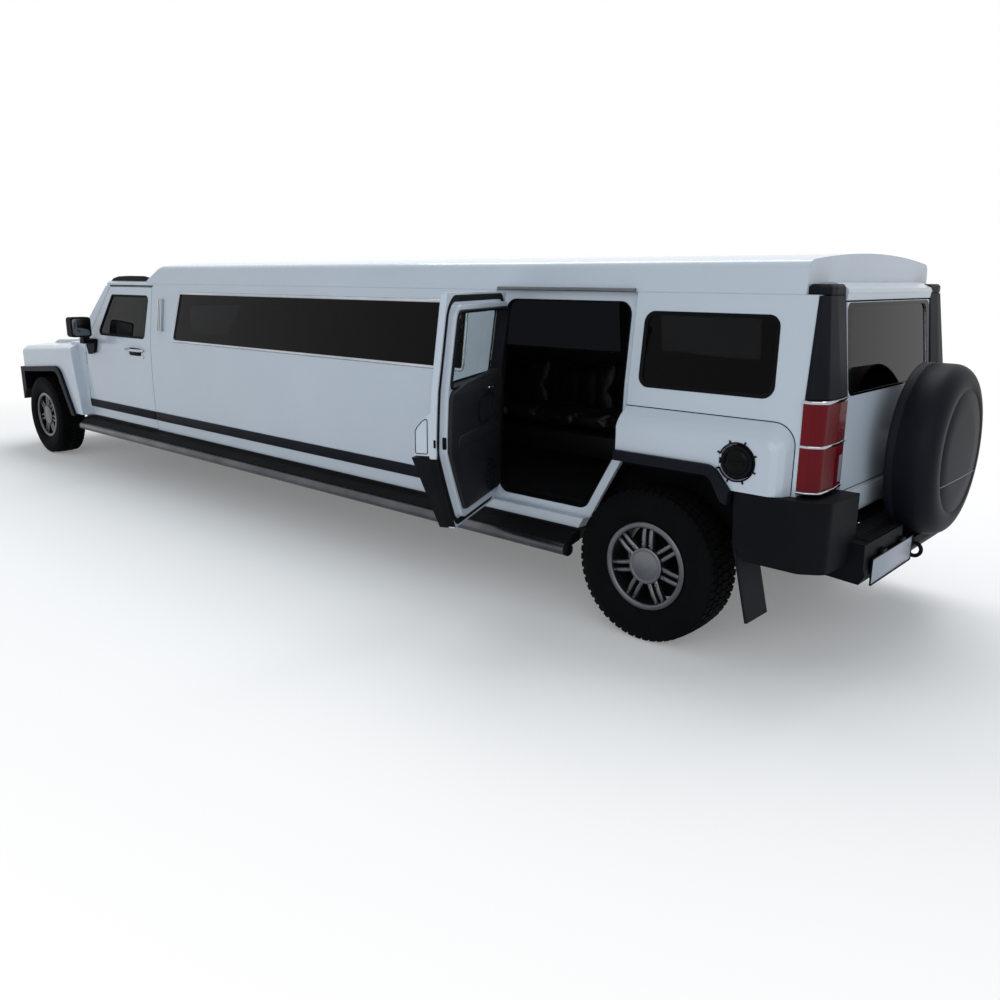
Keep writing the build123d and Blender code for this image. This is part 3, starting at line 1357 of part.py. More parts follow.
propshaft = rod((RX, 0, HUB_Z), (FX - 1270 - SEAT_GAP, 0, HUB_Z), 36)
keep("rear_axle", joined(axle.part, spring_set, right_of(spring_set), propshaft))

# Front suspension: cross beam and wishbones out to the kingpins
BEAM_HALF_X = 60
ARM_TIP = KINGPIN_Y + 32
front_beam = box((FX - BEAM_HALF_X, FX + BEAM_HALF_X), (-RAIL_OUT, RAIL_OUT), (290, 360))
WISHBONE = [(FX - 140, 415), (FX - 28, ARM_TIP), (FX + 28, ARM_TIP), (FX + 140, 415)]
lower_arm = slab(Plane.XY.offset(KINGPIN_LOW - SEAT_GAP - 30), WISHBONE, 30, [0, 26, 26, 0])
upper_arm = slab(Plane.XY.offset(KINGPIN_HIGH + SEAT_GAP), WISHBONE, 24, [0, 26, 26, 0])
tower = box((FX - 150, FX + 150), (RAIL_OUT, RAIL_OUT + 16), (290, 560))
beam_post = box((FX - 50, FX + 50), (RAIL_IN, RAIL_OUT), (355, RAIL_LOW))
rail_room = box((FX - 300, FX + 300), (RAIL_IN - 60, RAIL_OUT), (RAIL_LOW - 20, RAIL_HIGH))
arms = less(joined(lower_arm, upper_arm, tower), rail_room)
keep("front_suspension", joined(front_beam, beam_post, right_of(beam_post), arms, right_of(arms)))

# Steering knuckle: kingpin and spindle, one each side
kingpin = rod((FX, KINGPIN_Y, KINGPIN_LOW), (FX, KINGPIN_Y, KINGPIN_HIGH), KINGPIN_R)
spindle = rod((FX, KINGPIN_Y, HUB_Z), (FX, SPINDLE_END, HUB_Z), SPINDLE_R)
knuckle = joined(kingpin, spindle)
keep("knuckle_left", knuckle)
keep("knuckle_right", right_of(knuckle))

# Wheels: rim with paired spokes, hub and brake disc, and the tyre round it
TYRE_PROFILE = [  # across, radius
    (100, SEAT_R),
    (100, 232),
    (TYRE_W / 2, 300),
    (TYRE_W / 2 - 4, 355),
    (TYRE_W / 2 - 26, TYRE_R),
]
RIM_HALF = RIM_W / 2
RIM_SEAT = SEAT_R - SEAT_GAP
FLANGE_IN = 100 + SEAT_GAP
SPOKE_FACE, SPOKE_DEEP = 96, 34


def wheel_plane(x):
    """Plane through a left wheel's centre with its axle as local X."""
    return Plane(origin=(x, WHEEL_Y, HUB_Z), x_dir=(0, 1, 0), z_dir=(1, 0, 0))


def tyre(x):
    """Left tyre as a ring of straight facets round the axle."""
    half = TYRE_PROFILE + [(-across, radius) for across, radius in reversed(TYRE_PROFILE)]
    with BuildPart() as ring:
        with BuildSketch(wheel_plane(x)):
            with BuildLine():
                Polyline(*half, close=True)
            make_face()
        revolve(axis=Axis((x, WHEEL_Y, HUB_Z), (0, 1, 0)))
    return ring.part


def rim(x):
    """Left rim with its spokes, hub and brake disc."""
    inner = RIM_SEAT - BARREL_WALL
    profile = [
        (RIM_HALF, inner),
        (RIM_HALF, RIM_R),
        (FLANGE_IN, RIM_R),
        (FLANGE_IN, RIM_SEAT),
        (-FLANGE_IN, RIM_SEAT),
        (-FLANGE_IN, RIM_R),
        (-RIM_HALF, RIM_R),
        (-RIM_HALF, inner),
    ]
    hub = [
        (70, 0),
        (SPOKE_FACE, 0),
        (SPOKE_FACE, HUB_R),
        (-88, HUB_R),
        (-88, DISC_R),
        (-108, DISC_R),
        (-108, SPINDLE_R + SPINDLE_FIT),
        (70, SPINDLE_R + SPINDLE_FIT),
    ]
    spoke_mid = (HUB_R + inner) / 2
    spoke_plane = Plane(origin=(x, WHEEL_Y + SPOKE_FACE, HUB_Z), x_dir=(1, 0, 0), z_dir=(0, -1, 0))
    with BuildPart() as whole:
        with BuildSketch(wheel_plane(x)):
            with BuildLine():
                Polyline(*profile, close=True)
            make_face()
            with BuildLine():
                Polyline(*hub, close=True)
            make_face()
        revolve(axis=Axis((x, WHEEL_Y, HUB_Z), (0, 1, 0)))
        with BuildSketch(spoke_plane):
            with PolarLocations(0, SPOKE_PAIRS, start_angle=90):
                with Locations((spoke_mid, SPOKE_SPREAD), (spoke_mid, -SPOKE_SPREAD)):
                    Rectangle(inner - HUB_R + 16, SPOKE_W)
        extrude(amount=SPOKE_DEEP)
    return whole.part


for place, x in (("front", FX), ("rear", RX)):
    left_tyre = tyre(x)
    left_rim = rim(x)
    keep(f"tyre_{place}_left", left_tyre)
    keep(f"rim_{place}_left", left_rim)
    keep(f"tyre_{place}_right", right_of(left_tyre))
    keep(f"rim_{place}_right", right_of(left_rim))

# Dashboard with the steering wheel on its column
DASH = [
    (FIREWALL_REAR, 850),
    (FIREWALL_REAR, 1160),
    (FX - 900, 1165),
    (FX - 1060, 1120),
    (FX - 1080, 1040),
    (FX - 960, 850),
]
dash_half = BELT_Y - WALL - 20
dash = slab(Plane.XZ.offset(-dash_half), DASH, 2 * dash_half)
WHEEL_POS = (FX - 1180, 370, 1090)
COLUMN = Vector(180, 0, -70)
column_plane = Plane(origin=WHEEL_POS, x_dir=(0, 1, 0), z_dir=COLUMN)
with BuildPart() as helm:
    with BuildSketch(column_plane):
        Circle(190)
        Circle(162, mode=Mode.SUBTRACT)
        Rectangle(340, 40)
    extrude(amount=22)
column_end = Vector(*WHEEL_POS) + COLUMN
column = rod(WHEEL_POS, (column_end.X, column_end.Y, column_end.Z), 24)
keep("dashboard", joined(dash, helm.part, column))

# Seats: driver, passenger, side lounge and rear bench, on the floor
SEAT_Z = RAIL_HIGH + FLOOR
CUSHION_Z = SEAT_Z + 330
BENCH_HALF = HOUSING_IN - 40  # between the wheel housings
SEATS = [  # cushion x, cushion y, back x, back y, back top
    ((FX - 1750, FX - 1250), (130, 630), (FX - 1900, FX - 1752), (140, 620), 1430),
    ((FX - 1750, FX - 1250), (-630, -130), (FX - 1900, FX - 1752), (-620, -140), 1430),
    ((RX + 700, FX - 2450), (-590, -150), (RX + 700, FX - 2450), (-740, -592), 1230),
    (
        (RX - 350, RX + 200),
        (-BENCH_HALF, BENCH_HALF),
        (RX - 560, RX - 352),
        (-BENCH_HALF, BENCH_HALF),
        1330,
    ),
]
seat_blocks = []
for cushion_x, cushion_y, back_x, back_y, back_top in SEATS:
    seat_blocks.append(box(cushion_x, cushion_y, (SEAT_Z, CUSHION_Z)))
    seat_blocks.append(box(back_x, back_y, (SEAT_Z, back_top)))
keep("seats", joined(*seat_blocks))

# Exhaust pipe with silencer and fuel tank under the floor
PIPE_Y, PIPE_Z, PIPE_R = -560, 508, 28
pipe = rod((RX + 1000, PIPE_Y, PIPE_Z), (FX - 1300, PIPE_Y, PIPE_Z), PIPE_R)
silencer = rod((RX + 1300, PIPE_Y, PIPE_Z), (RX + 2000, PIPE_Y, PIPE_Z), 72)
pipe_hangers = [
    box((place, place + 30), (PIPE_Y - 10, PIPE_Y + 10), (PIPE_Z, RAIL_HIGH))
    for place in (RX + 1100, RX + 1600, FX - 1500)
]
keep("exhaust", joined(pipe, silencer, *pipe_hangers))
keep("fuel_tank", box((RX + 650, RX + 1500), (475, 760), (430, RAIL_HIGH)))

for name, part in nodes.items():
    export_step(part, f"parts/{name}.step")
print(len(nodes), "pieces")
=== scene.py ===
import bmesh
import bpy
import json
import math
from mathutils import Matrix, Vector, geometry


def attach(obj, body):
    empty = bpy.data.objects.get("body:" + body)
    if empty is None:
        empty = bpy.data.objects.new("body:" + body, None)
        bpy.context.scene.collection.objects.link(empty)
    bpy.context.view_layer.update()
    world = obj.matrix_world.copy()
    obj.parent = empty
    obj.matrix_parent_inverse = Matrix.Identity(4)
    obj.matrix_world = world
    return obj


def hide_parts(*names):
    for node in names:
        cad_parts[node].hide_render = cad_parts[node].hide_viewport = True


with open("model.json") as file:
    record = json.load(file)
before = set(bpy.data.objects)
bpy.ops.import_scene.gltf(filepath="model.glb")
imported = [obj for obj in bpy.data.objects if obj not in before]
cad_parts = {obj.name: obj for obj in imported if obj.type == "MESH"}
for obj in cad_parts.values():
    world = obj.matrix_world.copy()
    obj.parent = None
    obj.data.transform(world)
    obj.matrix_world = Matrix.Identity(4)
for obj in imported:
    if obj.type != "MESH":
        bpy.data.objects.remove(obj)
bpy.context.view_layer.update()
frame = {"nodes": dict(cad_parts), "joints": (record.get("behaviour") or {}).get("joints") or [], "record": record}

# Places in metres from the frame: X forward, Y to the left, Z up
JOINTS = {joint["name"]: joint for joint in frame["joints"]}
RX = JOINTS["wheel_rear_left_spin"]["pos_m"][0]
FX, WHEEL_Y, HUB_Z = JOINTS["wheel_front_left_spin"]["pos_m"]
REAR_HINGE = Vector(JOINTS["rear_door_left_swing"]["pos_m"])
DOOR_OPEN = math.radians(-65)
LEFT, RIGHT = 1, -1
SIDES = ((LEFT, "left"), (RIGHT, "right"))

# Side wall section: half width and height at sill, waist, belt and eave
SILL = (0.850, 0.490)
WAIST = (0.864, 0.880)
BELT = (0.852, 1.285)
EAVE = (0.796, 1.745)

# Windows and doors as (x, z) outlines on the closed left side, and their corners' radii
SIDE_WINDOW = [(RX + 1.360, 1.672), (FX - 2.710, 1.672), (FX - 2.612, 1.285), (RX + 1.360, 1.285)]
QUARTER_WINDOW = [(RX + 0.130, 1.650), (RX - 0.560, 1.650), (RX - 0.575, 1.295), (RX + 0.130, 1.295)]
FRONT_WINDOW = [(FX - 2.170, 1.640), (FX - 1.490, 1.640), (FX - 1.225, 1.280), (FX - 2.115, 1.280)]
REAR_WINDOW = [(RX + 1.065, 1.650), (RX + 0.275, 1.650), (RX + 0.275, 1.295), (RX + 1.065, 1.295)]
REAR_EDGE = RX + 0.200
REAR_DOOR = [
    (RX + 1.130, 0.555), (RX + 1.130, 1.739), (REAR_EDGE, 1.739), (REAR_EDGE, 0.970),
    (RX + 0.435, 0.555),
]
FRONT_DOOR = [
    (FX - 2.230, 0.496), (FX - 2.230, 1.715), (FX - 1.450, 1.715), (FX - 1.000, 1.215),
    (FX - 0.940, 1.150), (FX - 0.940, 0.496),
]
BACK_GLASS = [(-0.535, 1.305), (0.535, 1.305), (0.512, 1.692), (-0.512, 1.692)]
CORNER = 0.035
QUARTER_CORNER = 0.050


def skin_y(z):
    """Half width of the outer skin at a height."""
    if z > BELT[1]:
        return BELT[0] + (EAVE[0] - BELT[0]) * (z - BELT[1]) / (EAVE[1] - BELT[1])
    share = (z - WAIST[1]) / ((SILL[1] if z < WAIST[1] else BELT[1]) - WAIST[1])
    edge = SILL[0] if z < WAIST[1] else BELT[0]
    return WAIST[0] + (edge - WAIST[0]) * share**2


# Shader building
def shader(name):
    """New material with its node tree and main shader node."""
    made = bpy.data.materials.new(name)
    made.use_nodes = True
    return made, made.node_tree, made.node_tree.nodes["Principled BSDF"]


def fill(tree, made, values):
    """Inputs of a node by name or number, linked where the value is a socket."""
    for name, value in values.items():
        if isinstance(value, bpy.types.NodeSocket):
            tree.links.new(value, made.inputs[name])
        else:
            made.inputs[name].default_value = value


def node(tree, kind, **values):
    """New node with some of its inputs."""
    made = tree.nodes.new(f"ShaderNode{kind}")
    fill(tree, made, values)
    return made


def own_place(tree):
    """Coordinates in the object's own metres."""
    return node(tree, "TexCoord").outputs["Object"]


def noise(tree, scale, detail=4.0, stretch=(1, 1, 1)):
    """Noise over the object's own metres."""
    spread = node(tree, "Mapping", Vector=own_place(tree), Scale=stretch)
    return node(tree, "TexNoise", Vector=spread.outputs["Vector"], Scale=scale, Detail=detail).outputs["Fac"]


def ramp(tree, value, low, high, start=0.35, end=0.65):
    """Colour that runs from one to another as a value rises."""
    scale = node(tree, "ValToRGB", Fac=value)
    for stop, place, colour in zip(scale.color_ramp.elements, (start, end), (low, high)):
        stop.position = place
        stop.color = (*colour, 1)
    return scale.outputs["Color"]


def spread_value(tree, value, low, high, start=0.3, end=0.7):
    """A value mapped into a range."""
    limits = {"From Min": start, "From Max": end, "To Min": low, "To Max": high}
    return node(tree, "MapRange", Value=value, **limits).outputs["Result"]


def relief(tree, main, value, strength, depth, edge=0.0):
    """Bump from a value, over edges that are softened by a radius."""
    bump = node(tree, "Bump", Strength=strength, Distance=depth, Height=value)
    if edge:
        soft = node(tree, "Bevel", Radius=edge)
        soft.samples = 4
        fill(tree, bump, {"Normal": soft.outputs["Normal"]})
    fill(tree, main, {"Normal": bump.outputs["Normal"]})


def finish(
    name, low, high, rough, grain, bump, metal=0.0, coat=0.0, edge=0.0, stretch=(1, 1, 1), shine=0.5
):
    """Material with cloudy colour, uneven gloss and a fine grain."""
    made, tree, main = shader(name)
    fine = noise(tree, grain, 6.0, stretch)
    looks = {
        "Base Color": ramp(tree, noise(tree, 3.0), low, high),
        "Roughness": spread_value(tree, fine, *rough),
        "Metallic": metal,
        "Specular IOR Level": shine,
        "Coat Weight": coat,
        "Coat Roughness": 0.04,
    }
    fill(tree, main, looks)
    relief(tree, main, fine, *bump, edge)
    return made


def sum_node(tree, kind, *values):
    """One arithmetic node, whose inputs are sockets or numbers."""
    made = tree.nodes.new("ShaderNodeMath")
    made.operation = kind
    fill(tree, made, dict(enumerate(values)))
    return made.outputs["Value"]


# Limits of the dark inner sides: depth under the skin, arches as height and drop, roof, sill
SKIN_DEPTH = 0.056
CAB_ARCH = (1.767, 0.036)
ROOF_ARCH = (1.905, 0.09)
ROOF_HALF = 0.735
ROOF_SPAN = (RX - 0.635, FX - 2.47)
SILL_TOP = 0.4905


def under_skin(tree, x, y, z):
    """1 deep under the side walls' skin."""
    lean = (BELT[0] - EAVE[0]) / (EAVE[1] - BELT[1])
    above = sum_node(tree, "MAXIMUM", sum_node(tree, "SUBTRACT", z, BELT[1]), 0.0)
    limit = sum_node(tree, "MULTIPLY_ADD", above, -lean, BELT[0] - SKIN_DEPTH)
    return sum_node(tree, "LESS_THAN", sum_node(tree, "ABSOLUTE", y, 0.0), limit)


def under_arc(tree, y, z, top, drop):
    """1 below an arched limit across the car."""
    squared = sum_node(tree, "MULTIPLY", y, y)
    return sum_node(tree, "LESS_THAN", z, sum_node(tree, "MULTIPLY_ADD", squared, -drop, top))


def under_cab_roof(tree, x, y, z):
    """1 inside the cab frame."""
    return sum_node(tree, "MULTIPLY", under_skin(tree, x, y, z), under_arc(tree, y, z, *CAB_ARCH))


def under_roof(tree, x, y, z):
    """1 inside the raised roof."""
    across = sum_node(tree, "LESS_THAN", sum_node(tree, "ABSOLUTE", y, 0.0), ROOF_HALF)
    ahead = sum_node(tree, "GREATER_THAN", x, ROOF_SPAN[0])
    behind = sum_node(tree, "LESS_THAN", x, ROOF_SPAN[1])
    along = sum_node(tree, "MULTIPLY", ahead, behind)
    within = sum_node(tree, "MULTIPLY", across, under_arc(tree, y, z, *ROOF_ARCH))
    return sum_node(tree, "MULTIPLY", along, within)


def under_sill(tree, x, y, z):
    """1 below the painted sill."""
    return sum_node(tree, "LESS_THAN", z, SILL_TOP)


DARK = (0.0045, 0.0050, 0.0065)
# The white paint is given a darker blue-grey colour, a painted shade of sky light; the two colours differ at
# random.
SKY_SHADED_WHITE_LOW, SKY_SHADED_WHITE_HIGH = (0.605, 0.668, 0.748), (0.628, 0.690, 0.766)
PAINT_ROUGH, PAINT_GRAIN, PAINT_BUMP = (0.20, 0.27), 260.0, (0.04, 0.0004)
PAINT_COAT, PAINT_EDGE, PAINT_SHINE = 0.25, 0.008, 0.4


def lined_paint(name, mask):
    """Gloss paint that is dark trim where a mask of the place is 1."""
    made, tree, main = shader(name)
    parts = node(tree, "SeparateXYZ", Vector=own_place(tree))
    inside = mask(tree, *[parts.outputs[axis] for axis in "XYZ"])
    mix = tree.nodes.new("ShaderNodeMix")
    mix.data_type = "RGBA"
    # Painted sky shade: the white is blue-grey.
    white = ramp(tree, noise(tree, 2.0), SKY_SHADED_WHITE_LOW, SKY_SHADED_WHITE_HIGH)
    fill(tree, mix, {"Factor": inside, "A": white, "B": (*DARK, 1)})
    fine = noise(tree, PAINT_GRAIN, 3.0)
    gloss = spread_value(tree, fine, *PAINT_ROUGH)
    looks = {
        "Base Color": mix.outputs["Result"],
        "Roughness": sum_node(tree, "MULTIPLY_ADD", inside, 0.5, gloss),
        "Specular IOR Level": PAINT_SHINE,
        "Coat Weight": PAINT_COAT,
        "Coat Roughness": 0.04,
    }
    fill(tree, main, looks)
    relief(tree, main, fine, *PAINT_BUMP, PAINT_EDGE)
    return made


def glass(name, tint, rough=0.0, bend=1.45):
    """Clear or tinted pane with a faint film on it."""
    made, tree, main = shader(name)
    film = noise(tree, 14.0)
    looks = {
        "Base Color": (*tint, 1),
        "Transmission Weight": 1.0,
        "IOR": bend,
        "Roughness": spread_value(tree, film, rough, rough + 0.015),
    }
    fill(tree, main, looks)
    relief(tree, main, film, 0.02, 0.0005)
    return made


def lens(name, colour, scale):
    """Moulded lamp lens with fine upright ribs under a gloss face, painted darker in the rib valleys as painted
    shade.
    """
    made, tree, main = shader(name)
    wave = node(tree, "TexWave", Vector=own_place(tree), Scale=scale)
    wave.bands_direction = "Y"
    ribs = wave.outputs["Fac"]
    # Painted shade: the rib valleys are a quarter darker than the lens colour.
    painted_groove_shade = tuple(0.75 * c for c in colour)
    looks = {
        "Base Color": ramp(tree, ribs, painted_groove_shade, colour, 0.2, 0.8),
        "Roughness": spread_value(tree, noise(tree, 40.0), 0.10, 0.16),
        "Specular IOR Level": 0.12,
    }
    fill(tree, main, looks)
    relief(tree, main, ribs, 0.10, 0.001, 0.004)
    return made


def leather(name, low, high):
    """Grained hide with soft sheen."""
    made, tree, main = shader(name)
    pores = node(tree, "TexVoronoi", Vector=own_place(tree), Scale=420.0).outputs["Distance"]
    looks = {
        "Base Color": ramp(tree, noise(tree, 6.0), low, high),
        "Roughness": spread_value(tree, noise(tree, 30.0), 0.38, 0.52),
        "Specular IOR Level": 0.35,
    }
    fill(tree, main, looks)
    relief(tree, main, pores, 0.35, 0.0012)
    return made


# Finishes, each noted with a slot name
slot_of = {}


def listed(look, slot):
    """A finish, noted with its usual slot."""
    slot_of[look.name] = slot
    return look


# The outer paint wears the same painted sky shade.
PAINT = (SKY_SHADED_WHITE_LOW, SKY_SHADED_WHITE_HIGH, PAINT_ROUGH, PAINT_GRAIN, PAINT_BUMP)
paint = lined_paint("white_paint", under_skin)
cab_paint = lined_paint("white_paint_cab", under_cab_roof)
roof_paint = lined_paint("white_paint_roof", under_roof)
sill_paint = lined_paint("sill_paint", under_sill)
outer_paint = finish("white_paint_outer", *PAINT, 0, PAINT_COAT, PAINT_EDGE, shine=PAINT_SHINE)
listed(outer_paint, "white_paint")
BLACKS = [  # name, slot, soft edge, shine, darker, lighter, roughness, grain, bump
    ("black_plastic", "black_plastic", 0.006, 0.07)
    + ((0.0028, 0.0032, 0.0048), (0.0055, 0.0062, 0.0088), (0.50, 0.66), 700, (0.22, 0.0006)),
    ("satin_black", "black_plastic", 0.006, 0.08)
    + ((0.0052, 0.0064, 0.0108), (0.0085, 0.0102, 0.0160), (0.44, 0.56), 900, (0.12, 0.0004)),
    ("seal_rubber", "black_plastic", 0.0, 0.08)
    + ((0.0026, 0.0027, 0.0034), (0.0048, 0.0050, 0.0060), (0.60, 0.75), 500, (0.10, 0.0004)),
    ("tyre_rubber", "tyre_rubber", 0.0, 0.06)
    + ((0.0022, 0.0023, 0.0029), (0.0050, 0.0052, 0.0060), (0.70, 0.88), 160, (0.25, 0.0012)),
    ("step_black", "step_steel", 0.004, 0.07)
    + ((0.0030, 0.0033, 0.0042), (0.0065, 0.0068, 0.0080), (0.55, 0.75), 320, (0.30, 0.0010)),
    ("chassis_black", "chassis_black", 0.0, 0.08)
    + ((0.0030, 0.0030, 0.0032), (0.0080, 0.0075, 0.0072), (0.55, 0.80), 60, (0.20, 0.0010)),
    ("dash_plastic", "dash_plastic", 0.006, 0.20)
    + ((0.0075, 0.0085, 0.0120), (0.0125, 0.0140, 0.0185), (0.50, 0.65), 420, (0.40, 0.0010)),
    ("carpet", "seat_leather", 0.0, 0.05)
    + ((0.0050, 0.0052, 0.0060), (0.0100, 0.0104, 0.0120), (0.90, 1.00), 500, (0.90, 0.0030)),
    ("headliner", "dash_plastic", 0.0, 0.08)
    + ((0.0090, 0.0095, 0.0110), (0.0130, 0.0135, 0.0150), (0.85, 0.95), 700, (0.30, 0.0010)),
    ("glass_border", "black_plastic", 0.0, 0.06)
    + ((0.0030, 0.0032, 0.0036), (0.0045, 0.0047, 0.0052), (0.06, 0.10), 60, (0.01, 0.0002)),
]
black = {}
for name, slot, edge, shine, *rest in BLACKS:
    black[name] = listed(finish(name, *rest, 0, 0, edge, shine=shine), slot)
plastic, satin, rubber = black["black_plastic"], black["satin_black"], black["seal_rubber"]
dash, step_black, carpet = black["dash_plastic"], black["step_black"], black["carpet"]
tinted = glass("tinted_glass", (0.006, 0.0065, 0.008), 0.0, 1.16)
screen = glass("screen_glass", (0.82, 0.88, 0.87))
clear_lens = glass("lamp_glass", (0.92, 0.94, 0.96), 0.02)
red = lens("red_lamp", (0.165, 0.0040, 0.0095), 60.0)
pale_lens = listed(lens("reverse_lens", (0.30, 0.28, 0.31), 80.0), "red_lamp")
amber = listed(lens("amber_lens", (0.42, 0.11, 0.012), 80.0), "red_lamp")
EVEN = (1, 1, 1)
METALS = [  # name, slot, metallic share, stretch, darker, lighter, roughness, grain, bump
    ("chrome", "chrome", 1.0, EVEN)
    + ((0.36, 0.38, 0.42), (0.46, 0.48, 0.52), (0.06, 0.12), 80, (0.02, 0.0002)),
    ("mirror_glass", "chrome", 1.0, EVEN)
    + ((0.10, 0.11, 0.12), (0.14, 0.15, 0.16), (0.01, 0.03), 60, (0.01, 0.0001)),
    ("step_steel", "step_steel", 1.0, (0.03, 1, 1))
    + ((0.060, 0.063, 0.070), (0.105, 0.110, 0.120), (0.26, 0.40), 120, (0.05, 0.0003)),
    ("engine_cast", "engine_cast", 0.6, EVEN)
    + ((0.05, 0.05, 0.05), (0.10, 0.10, 0.10), (0.5, 0.7), 140, (0.5, 0.002)),
    ("exhaust_steel", "exhaust_steel", 0.9, EVEN)
    + ((0.10, 0.085, 0.07), (0.20, 0.19, 0.18), (0.4, 0.6), 50, (0.15, 0.001)),
    ("alloy", "alloy", 0.9, EVEN)
    + ((0.085, 0.090, 0.102), (0.140, 0.146, 0.160), (0.24, 0.34), 200, (0.06, 0.0004)),
    ("drip_grey", "black_plastic", 0.3, EVEN)
    + ((0.10, 0.105, 0.115), (0.15, 0.155, 0.165), (0.38, 0.5), 260, (0.06, 0.0003)),
]
metal = {}
for name, slot, share, stretch, *rest in METALS:
    metal[name] = listed(finish(name, *rest, share, 0, 0, stretch), slot)
chrome, steel, alloy = metal["chrome"], metal["step_steel"], metal["alloy"]
hide = listed(leather("seat_leather", (0.006, 0.006, 0.0068), (0.011, 0.0105, 0.0108)), "seat_leather")
PLATE_PAINT = ((0.36, 0.40, 0.48), (0.41, 0.45, 0.53), (0.30, 0.42), 120.0, (0.05, 0.0003))
plate_paint = listed(finish("plate_blank", *PLATE_PAINT), "white_paint")

# Finishes of the solids that show as they are
SLOT_FINISH = {
    "white_paint": paint,
    "black_plastic": plastic,
    "tinted_glass": tinted,
    "screen_glass": screen,
    "lamp_glass": clear_lens,
    "red_lamp": red,
    "chrome": chrome,
    "step_steel": step_black,
    "chassis_black": black["chassis_black"],
    "engine_cast": metal["engine_cast"],
    "exhaust_steel": metal["exhaust_steel"],
    "alloy": alloy,
    "tyre_rubber": black["tyre_rubber"],
    "dash_plastic": dash,
    "seat_leather": hide,
}
NODE_FINISH = {
    "cab_frame": cab_paint,
    "roof": roof_paint,
    "rockers": sill_paint,
    "front_fenders": outer_paint,
    "hood": outer_paint,
    "door_rear_left": outer_paint,
    "door_rear_right": outer_paint,
    "tailgate": outer_paint,
    "pillar_trims": satin,
    "wheel_flares": satin,
    "floor": carpet,
}
for part in frame["record"]["subparts"]:
    solid = frame["nodes"][part["node"]].data
    solid.materials.clear()
    solid.materials.append(NODE_FINISH.get(part["node"], SLOT_FINISH[part["material_slot"]]))


# Mesh building
FLAT = math.radians(0.6)


def piece(name, mesh, look, body="body", turn=None, slot=None, angle=38):
    """Object from a bmesh, smoothed up to an angle, placed and carried by a body."""
    bmesh.ops.remove_doubles(mesh, verts=mesh.verts, dist=1e-6)
    bmesh.ops.connect_verts_nonplanar(mesh, angle_limit=FLAT, faces=mesh.faces)
    bmesh.ops.recalc_face_normals(mesh, faces=mesh.faces)
    data = bpy.data.meshes.new(name)
    mesh.to_mesh(data)
    mesh.free()
    made = bpy.data.objects.new(name, data)
    bpy.context.scene.collection.objects.link(made)
    if turn is not None:
        data.transform(turn)
    data.materials.append(look)
    data.shade_smooth()
    data.set_sharp_from_angle(angle=math.radians(angle))
    slot = slot or slot_of[look.name]
    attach(made, body)
    return made


def rounded(points, radius, steps=5):
    """Closed outline with each corner replaced by an arc."""
    radii = radius if isinstance(radius, (list, tuple)) else [radius] * len(points)
    made = []
    for i, corner in enumerate(points):
        here = Vector(corner)
        back = (Vector(points[i - 1]) - here).normalized()
        ahead = (Vector(points[(i + 1) % len(points)]) - here).normalized()
        if not radii[i]:
            made.append(here)
            continue
        half = back.angle(ahead) / 2
        centre = here + (back + ahead).normalized() * (radii[i] / math.sin(half))
        start = here + back * (radii[i] / math.tan(half)) - centre
        end = here + ahead * (radii[i] / math.tan(half)) - centre
        for k in range(steps + 1):
            made.append(centre + start.lerp(end, k / steps).normalized() * radii[i])
    return made


def circle(x, y, radius, steps=32):
    """Closed round outline."""
    turns = [2 * math.pi * k / steps for k in range(steps)]
    return [Vector((x + radius * math.cos(t), y + radius * math.sin(t))) for t in turns]


def outward(outline, closed=True):
    """Unit normal at each outline point, to its outside, or to the right of an open path."""
    area = sum(a.x * b.y - b.x * a.y for a, b in zip(outline, outline[1:] + outline[:1]))
    sign = 1 if area > 0 or not closed else -1
    normals = []
    for i, here in enumerate(outline):
        before = outline[i - 1] if closed or i else here
        after = outline[(i + 1) % len(outline)] if closed or i + 1 < len(outline) else here
        way = after - before
        normals.append(Vector((way.y, -way.x)).normalized() * sign)
    return normals


FOLDS = (0.640, 0.760, WAIST[1], 0.980, 1.080, 1.180, BELT[1])


def kinked(outline, closed=True):
    """Outline with points added at heights along the curve of the side walls."""
    made = []
    for here, after in zip(outline, outline[1:] + outline[:1]):
        made.append(here)
        if not closed and after is outline[0]:
            break
        rise = after.y - here.y
        folds = [fold for fold in FOLDS if (here.y - fold) * (after.y - fold) < 0]
        made += [here.lerp(after, (fold - here.y) / rise) for fold in (folds if rise > 0 else folds[::-1])]
    return made


def skin(mesh, rows, closed=False):
    """Faces between rings of points, closed into a loop or capped at both ends."""
    rings = [[mesh.verts.new(p) for p in row] for row in rows]
    runs = list(zip(rings, rings[1:])) + ([(rings[-1], rings[0])] if closed else [])
    count = len(rings[0])
    for first, second in runs:
        for k in range(count):
            mesh.faces.new((first[k], first[(k + 1) % count], second[(k + 1) % count], second[k]))
    if not closed:
        mesh.faces.new(rings[0])
        mesh.faces.new(rings[-1])


def band(mesh, outline, section, place, closed=True):
    """Section of (sideways, out) points swept along an outline, placed by a function of (u, v, out)."""
    rows = []
    outline = kinked(outline, closed)
    for here, normal in zip(outline, outward(outline, closed)):
        rows.append([place(here.x + normal.x * d, here.y + normal.y * d, out) for d, out in section])
    skin(mesh, rows, closed)


def panel(mesh, outline, low, high, edge, place):
    """Filled outline with a softened rim, between two heights over its surface."""
    outline = kinked(outline)
    normals = outward(outline)
    way = 1 if high > low else -1
    steps = [
        (0.0, low), (0.0, high - way * edge), (-0.3 * edge, high - way * 0.3 * edge),
        (-edge, high),
    ]
    rows = []
    for inset, out in steps:
        rows.append(
            [place(p.x + n.x * inset, p.y + n.y * inset, out) for p, n in zip(outline, normals)]
        )
    skin(mesh, rows)


def on_side(side):
    """Placing function on the left or right skin."""
    return lambda x, z, out: Vector((x, side * (skin_y(z) + out), z))


